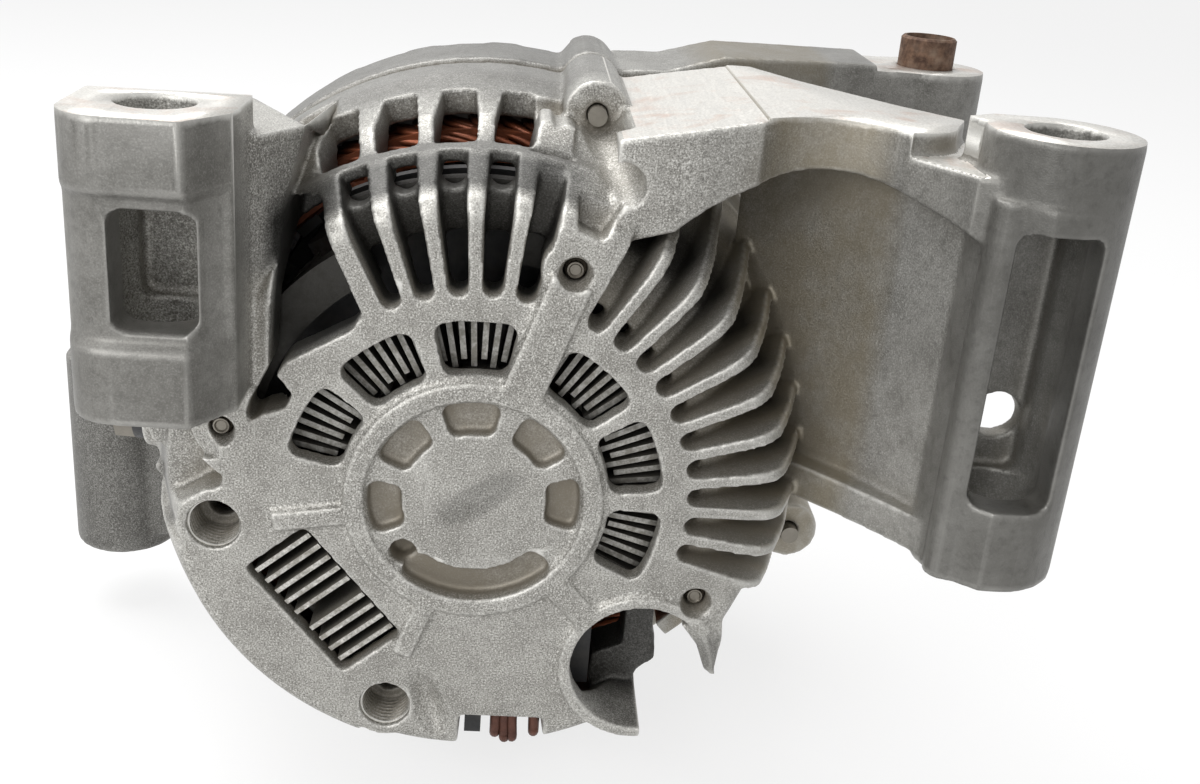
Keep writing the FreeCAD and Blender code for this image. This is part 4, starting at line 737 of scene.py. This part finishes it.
def casting(node, name, voxel, rounds, most, milled, shape=None, lit_tops=()):
    """Stands for a cast node. Milled ends stay flat and sharp, and level faces in the given boxes of arm
    tops get the bright milled finish, partly as a painted highlight.
    """
    obj = remeshed(nodes[node], voxel, name)
    mesh = obj.data
    before = points_of(mesh)
    if shape:
        shape(before)
        set_points(mesh, before)
    soften(mesh, rounds)
    after = points_of(mesh)
    for height, low, high in milled:
        near = np.abs(before[:, 2] - height) < END_VOXELS * voxel
        near &= within(before, low, high)
        after[near, 2] = height
    set_points(mesh, after)
    thinned(obj, most)
    mesh = obj.data
    dress(obj, ALUMINIUM, MACHINED)
    smoothed(mesh)
    for polygon in mesh.polygons:
        centre = polygon.center
        for height, low, high in milled:
            at_end = abs(polygon.normal.z) > END_UP and abs(centre.z - height) < END_SLACK
            if at_end and holds(low, high, centre):
                polygon.material_index = 1
        # painted highlight, in part: level faces in these boxes take the bright milled finish
        for low, high in lit_tops:
            if polygon.normal.z > LIT_TOP_UP and holds(low, high, centre):
                polygon.material_index = 1
    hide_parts(node)
    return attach(obj, "housing")


rear_milled = [
    flat_end(LEFT_TOP, *LEFT_BOSS),
    flat_end(LEFT_TOP - LEFT_TALL, *LEFT_BOSS),
    flat_end(RIGHT_TOP, *RIGHT_BOSS),
    flat_end(RIGHT_TOP - RIGHT_TALL, *RIGHT_BOSS),
    flat_end(ARM_TOP, *RIGHT_ARM),
]
front_milled = [
    flat_end(FRONT_RIGHT_TOP, *FRONT_RIGHT_BOSS),
    flat_end(FRONT_RIGHT_TOP - FRONT_RIGHT_TALL, *FRONT_RIGHT_BOSS),
]
casting("rear_bracket", "rear_casting", VOXEL, REAR_ROUNDS, REAR_TRIANGLES, rear_milled,
        shape_rear, [ARM_TOPS_MILLED_AND_LIT])
casting("front_bracket", "front_casting", FRONT_VOXEL, FRONT_ROUNDS, FRONT_TRIANGLES, front_milled)


# Wound wires, sized in millimetres

# A wire goes from its slot to the one SLOT_STEP further; layers lie LAYER_PITCH wire radii apart
SLOTS = 72
SLOT_STEP = 6
LAYERS = 6
LAYER_PITCH = 1.75
WIRE_R = 0.72
HEAD_INNER_R = 50.8
HEAD_OUTER_R = 59.8
REAR_CORE = 45.0
FRONT_CORE = 83.0
REAR_HEAD = 36.1
FRONT_HEAD = 95.9
WIRE_SIDES = 5
WIRE_POINTS = 22
WIRE_SINK = 1.5
WIRE_WAVE = 0.15
WIRE_WAVES = 7
CROWN_FLATNESS = 0.33
LUCK_HEIGHT = (-0.15, 0.05)
LUCK_TURN = (-0.012, 0.012)
LUCK_WAVE = (0, 6)

# Bars in the slots, and the varnished heart of each winding head
BARS = 36
BAR_SIZE = (6.6, FRONT_CORE - REAR_CORE + 3, 2.9)
BAR_R = 54.0
HEART_R = (52.2, 58.2)
HEARTS_Y = ((37.4, REAR_CORE - 0.6), (FRONT_CORE + 0.6, 94.4))
HEART_SIDES = 96


def bundle(name, runs, radius, sides, slot_name, body):
    """One mesh of round wires, each along a run of points, with closed ends."""
    points = []
    faces = []
    for run in runs:
        run = np.asarray(run)
        ahead = np.gradient(run, axis=0)
        ahead /= np.linalg.norm(ahead, axis=1)[:, None]
        outward = run * (1, 0, 1)
        outward /= np.linalg.norm(outward, axis=1)[:, None]
        across = np.cross(ahead, outward)
        across /= np.linalg.norm(across, axis=1)[:, None]
        outward = np.cross(across, ahead)
        base = len(points)
        for k in range(len(run)):
            for s in range(sides):
                a = 2 * math.pi * s / sides
                points.append(run[k] + radius * (math.cos(a) * outward[k] + math.sin(a) * across[k]))
        for k in range(len(run) - 1):
            for s in range(sides):
                here = base + k * sides + s
                beside = base + k * sides + (s + 1) % sides
                faces.append((here, beside, beside + sides, here + sides))
        last = base + (len(run) - 1) * sides
        faces.append(tuple(range(base + sides - 1, base - 1, -1)))
        faces.append(tuple(range(last, last + sides)))
    mesh = bpy.data.meshes.new(name)
    mesh.from_pydata([tuple(p) for p in points], [], faces)
    mesh.validate()
    smoothed(mesh)
    obj = added(name, mesh)
    dress(obj, finish[slot_name])
    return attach(obj, body)


def end_turns(y_core, y_end, seed):
    """Wires of one end of the stator: each leaves a slot, crosses over the crown and enters another."""
    luck = np.random.default_rng(seed)
    way = 1 if y_end > y_core else -1
    rise = abs(y_end - y_core)
    turn = math.radians(360.0 * SLOT_STEP / SLOTS)
    t = np.linspace(0.0, 1.0, WIRE_POINTS)
    climb = np.clip(np.sin(math.pi * t), 0, 1) ** CROWN_FLATNESS
    runs = []
    for slot_number in range(SLOTS):
        start = math.radians(360.0 * slot_number / SLOTS)
        for layer in range(LAYERS):
            under = (LAYERS - 1 - layer) * LAYER_PITCH * WIRE_R
            height = rise - WIRE_R - under + luck.uniform(*LUCK_HEIGHT)
            angle = start + luck.uniform(*LUCK_TURN) + turn * t
            radius = HEAD_INNER_R + WIRE_R + (HEAD_OUTER_R - HEAD_INNER_R - 2 * WIRE_R) * t
            radius += WIRE_WAVE * np.sin(WIRE_WAVES * t + luck.uniform(*LUCK_WAVE))
            y = y_core + way * (height * climb - WIRE_SINK * (1 - climb))
            runs.append(np.stack([radius * np.cos(angle), y, radius * np.sin(angle)], 1) * MM)
    return runs


def slot_bars():
    """Straight sides of the coils in the core's slots, with the varnished heart of each end."""
    work = bmesh.new()
    for k in range(BARS):
        bar = bmesh.ops.create_cube(work, size=1.0)["verts"]
        bmesh.ops.scale(work, verts=bar, vec=Vector(BAR_SIZE) * MM)
        bmesh.ops.translate(work, verts=bar, vec=Vector((BAR_R, (REAR_CORE + FRONT_CORE) / 2, 0)) * MM)
        bmesh.ops.rotate(work, verts=bar, matrix=Matrix.Rotation(math.radians(360.0 / BARS * k), 3, "Y"))
    angles = [2 * math.pi * j / HEART_SIDES for j in range(HEART_SIDES)]
    for y0, y1 in HEARTS_Y:
        rings = []
        for r, y in ((HEART_R[0], y0), (HEART_R[1], y0), (HEART_R[1], y1), (HEART_R[0], y1)):
            places = [(r * MM * math.cos(a), y * MM, r * MM * math.sin(a)) for a in angles]
            rings.append([work.verts.new(place) for place in places])
        for one, two in zip(rings, rings[1:] + rings[:1]):
            for j in range(HEART_SIDES):
                beside = (j + 1) % HEART_SIDES
                work.faces.new((one[j], two[j], two[beside], one[beside]))
    mesh = bpy.data.meshes.new("slot_bars")
    work.to_mesh(mesh)
    work.free()
    obj = added("slot_bars", mesh)
    dress(obj, finish["enamelled_copper"])
    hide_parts("stator_winding")
    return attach(obj, "housing")


for where, core_y, end_y, seed in (("rear", REAR_CORE, REAR_HEAD, 3), ("front", FRONT_CORE, FRONT_HEAD, 4)):
    wound = bundle(where + "_end_turns", end_turns(core_y, end_y, seed), WIRE_R * MM, WIRE_SIDES,
                   "enamelled_copper", "housing")
    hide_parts("stator_winding")
slot_bars()


# Threads and leads, sized in millimetres

# Screws from inside: their circle and angles, the rows (y, radius) of tip and head, and the thread
SCREW_CIRCLE = 45.4
SCREW_ANGLES = (70.9, 166.1, -23.9)
SCREW_SIDES = 28
SCREW_TIP = ((2.5, 0.5), (2.5, 0.9), (2.2, 1.15), (2.25, 1.4), (2.45, 1.5), (3.0, 1.5), (3.15, 1.7))
SCREW_HEAD = ((12.7, 2.0), (16.05, 2.0), (16.05, 3.3), (16.3, 3.6), (18.2, 3.6), (18.6, 3.2))
SCREW_THREAD = {"y0": 3.3, "y1": 12.5, "radius": 2.0, "depth": 0.32, "pitch": 0.8}

# Threaded liners of the two stepped service holes
LINER_CIRCLE = 46.0
LINER_ANGLES = (189.1, 251.4)
LINER_SIDES = 40
LINER_R = 4.95
LINER_THREAD = {"y0": 1.0, "y1": 8.9, "radius": 4.66, "depth": 0.38, "pitch": 1.0}

# Stator leads: x of each, how far its fold leans, and how low it hangs
LEADS = ((6.3, 0.0, -57.6), (7.9, 0.25, -58.8), (9.5, 0.2, -58.6), (14.0, 0.0, -57.0))
LEAD_R = 1.05
LEAD_SIDES = 12
SHARP_DEGREES = 35
ROWS_A_TURN = 6


def polar(radius, degrees):
    """X and Z of a point on a circle about the shaft."""
    return radius * math.cos(math.radians(degrees)), radius * math.sin(math.radians(degrees))


def ring(work, x, y, z, radii):
    """A closed row of vertices round an axis along Y, one for each radius."""
    made = []
    for s, radius in enumerate(radii):
        a = 2 * math.pi * s / len(radii)
        place = (MM * (x + radius * math.cos(a)), MM * y, MM * (z + radius * math.sin(a)))
        made.append(work.verts.new(place))
    return made


def skin(work, rows, closed=False):
    """Faces between rows of vertices; an open run of rows gets end caps."""
    count = len(rows[0])
    for one, two in zip(rows, rows[1:] + (rows[:1] if closed else [])):
        for s in range(count):
            work.faces.new((one[s], one[(s + 1) % count], two[(s + 1) % count], two[s]))
    if not closed:
        work.faces.new(rows[0])
        work.faces.new(rows[-1])


def thread_rows(work, x, z, sides, y0, y1, radius, depth, pitch):
    """Rows of one helical thread whose crest is at a radius."""
    rows = []
    steps = max(2, round((y1 - y0) / (pitch / ROWS_A_TURN)))
    for k in range(steps + 1):
        y = y0 + (y1 - y0) * k / steps
        radii = []
        for s in range(sides):
            phase = (y / pitch - s / sides) % 1.0
            radii.append(radius - depth * (1 - abs(2 * phase - 1)))
        rows.append(ring(work, x, y, z, radii))
    return rows


def finished(work, name, slot_name, node=None):
    """Object of a bmesh with its material, slot and body."""
    bmesh.ops.recalc_face_normals(work, faces=work.faces)
    mesh = bpy.data.meshes.new(name)
    work.to_mesh(mesh)
    work.free()
    mesh.shade_smooth()
    mesh.set_sharp_from_angle(angle=math.radians(SHARP_DEGREES))
    obj = added(name, mesh)
    dress(obj, finish[slot_name])
    if node:
        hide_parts(node)
    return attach(obj, "housing")


def cover_screws():
    """Three screws from inside, their thread and pilot tip showing in the recesses of the face."""
    work = bmesh.new()
    for angle in SCREW_ANGLES:
        x, z = polar(SCREW_CIRCLE, angle)
        rows = [ring(work, x, y, z, [r] * SCREW_SIDES) for y, r in SCREW_TIP]
        rows += thread_rows(work, x, z, SCREW_SIDES, **SCREW_THREAD)
        rows += [ring(work, x, y, z, [r] * SCREW_SIDES) for y, r in SCREW_HEAD]
        skin(work, rows)
    finished(work, "cover_screws", "zinc_plated_steel", "rectifier_screws")


def service_threads():
    """Threaded liners of the two stepped holes."""
    work = bmesh.new()
    for angle in LINER_ANGLES:
        x, z = polar(LINER_CIRCLE, angle)
        rows = thread_rows(work, x, z, LINER_SIDES, **LINER_THREAD)
        for y in (LINER_THREAD["y1"], LINER_THREAD["y0"]):
            rows.append(ring(work, x, y, z, [LINER_R] * LINER_SIDES))
        skin(work, rows, closed=True)
    finished(work, "service_threads", "cast_aluminium")


def lead_route(x, lean, low):
    """Points of one lead, from the stator to its fold in the notch and back up."""
    corners = [(x, 36.2, -54.8), (x, 24.0, -54.4), (x, 18.0, -55.6), (x + lean, 14.0, -57.2),
               (x + 1.6 * lean, 11.8, low), (x + lean, 11.0, low + 1.6), (x, 11.6, -54.0), (x, 12.0, -47.2)]
    curve = bpy.data.curves.new("lead_route", "CURVE")
    curve.dimensions = "3D"
    spline = curve.splines.new("NURBS")
    spline.points.add(len(corners) - 1)
    for point, corner in zip(spline.points, corners):
        point.co = (*(MM * c for c in corner), 1.0)
    spline.order_u = 3
    spline.use_endpoint_u = True
    spline.resolution_u = 5
    holder = bpy.data.objects.new("lead_route", curve)
    line = bpy.data.meshes.new_from_object(holder)
    run = [tuple(v.co) for v in line.vertices]
    bpy.data.objects.remove(holder)
    bpy.data.meshes.remove(line)
    return run


def lead_ends():
    """Stator leads: thick enamelled ends folded in the notch under the face."""
    runs = [lead_route(*lead) for lead in LEADS]
    leads = bundle("lead_ends", runs, LEAD_R * MM, LEAD_SIDES, "enamelled_copper", "housing")
    dress(leads, LACQUERED)
    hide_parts("stator_leads")


cover_screws()
service_threads()
lead_ends()


# Camera, lamps and floor, the lamps' and the floor's places in metres

FOCAL_PX = 1365.04
FRAME_PX = 1200
SENSOR_MM = 36.0
CLIP_START = 0.01
CAMERA_PLACE = Vector((3.5, -215.9, 110.0)) * MM
YAW = math.radians(4.51)
PITCH = math.radians(22.07)
ROLL = math.radians(5.0)
WORLD_LIGHT = 0.55
TOP_LAMP = {"place": (-0.25, 0.25, 0.75), "target": (0, 0.04, 0), "size": 0.7, "watts": 7.3}
FRONT_LAMP = {"place": (-0.45, -0.6, 0.4), "target": (-0.02, 0.0, 0), "size": 0.5, "watts": 4.3}
FLOOR_GAP = 0.2 * MM
FLOOR_HALF = 3.0
FLOOR_GREY = (0.93, 0.93, 0.93)
FLOOR_GLOW = 0.75
WHITE = (1, 1, 1, 1)


def camera():
    """Looks at the rear face from above, turned a little about its own axis."""
    data = bpy.data.cameras.new("camera")
    data.sensor_width = SENSOR_MM
    data.lens = FOCAL_PX / FRAME_PX * SENSOR_MM
    data.clip_start = CLIP_START
    obj = added("camera", data)
    ahead = Vector((math.sin(YAW) * math.cos(PITCH), math.cos(YAW) * math.cos(PITCH), -math.sin(PITCH)))
    right = Vector((math.cos(YAW), -math.sin(YAW), 0))
    up = right.cross(ahead)
    across = math.cos(ROLL) * right + math.sin(ROLL) * up
    upright = math.cos(ROLL) * up - math.sin(ROLL) * right
    axes = Matrix((across, upright, -ahead)).transposed()
    obj.matrix_world = Matrix.Translation(CAMERA_PLACE) @ axes.to_4x4()
    bpy.context.scene.camera = obj


def softbox(name, place, target, size, watts):
    """Square lamp that looks at a target."""
    data = bpy.data.lights.new(name, "AREA")
    data.energy = watts
    data.size = size
    obj = added(name, data)
    obj.location = place
    obj.rotation_mode = "QUATERNION"
    obj.rotation_quaternion = (Vector(target) - Vector(place)).to_track_quat("-Z", "Y")


def looked_past(tree):
    """1 for rays from the camera, a reflection or a clear piece, and 0 for the rest."""
    path = tree.nodes.new("ShaderNodeLightPath")
    share = path.outputs["Is Camera Ray"]
    for ray in ("Is Glossy Ray", "Is Transmission Ray"):
        node = tree.nodes.new("ShaderNodeMath")
        node.operation = "MAXIMUM"
        tree.links.new(share, node.inputs[0])
        tree.links.new(path.outputs[ray], node.inputs[1])
        share = node.outputs[0]
    return share


def world(strength):
    """Even soft light, with plain white where the camera or a reflection looks past the object."""
    made = bpy.data.worlds.new("world")
    bpy.context.scene.world = made
    made.use_nodes = True
    tree = made.node_tree
    tree.nodes.clear()
    out = tree.nodes.new("ShaderNodeOutputWorld")
    light = tree.nodes.new("ShaderNodeBackground")
    white = tree.nodes.new("ShaderNodeBackground")
    blend = tree.nodes.new("ShaderNodeMixShader")
    light.inputs["Strength"].default_value = strength
    light.inputs["Color"].default_value = WHITE
    white.inputs["Color"].default_value = WHITE
    tree.links.new(looked_past(tree), blend.inputs[0])
    tree.links.new(light.outputs[0], blend.inputs[1])
    tree.links.new(white.outputs[0], blend.inputs[2])
    tree.links.new(blend.outputs[0], out.inputs[0])


def floor(level, half):
    """Pale floor that the part stands on."""
    mesh = bpy.data.meshes.new("floor")
    corners = [(-half, -half, level), (half, -half, level), (half, half, level), (-half, half, level)]
    mesh.from_pydata(corners, [], [(0, 1, 2, 3)])
    obj = added("floor", mesh)
    r = Recipe("floor", roughness=0.8, specular=0.1)
    r.colour(FLOOR_GREY)
    glow = r.tree.nodes.new("ShaderNodeEmission")
    blend = r.tree.nodes.new("ShaderNodeMixShader")
    r.join(r.product(looked_past(r.tree), FLOOR_GLOW), blend.inputs[0])
    r.join(r.shader.outputs[0], blend.inputs[1])
    r.join(glow.outputs[0], blend.inputs[2])
    r.join(blend.outputs[0], r.out.inputs[0])
    mesh.materials.append(r.material)


camera()
world(WORLD_LIGHT)
softbox("top_softbox", **TOP_LAMP)
softbox("front_softbox", **FRONT_LAMP)
floor(cad_low.z - FLOOR_GAP, FLOOR_HALF)
bpy.context.scene.view_settings.view_transform = "Standard"
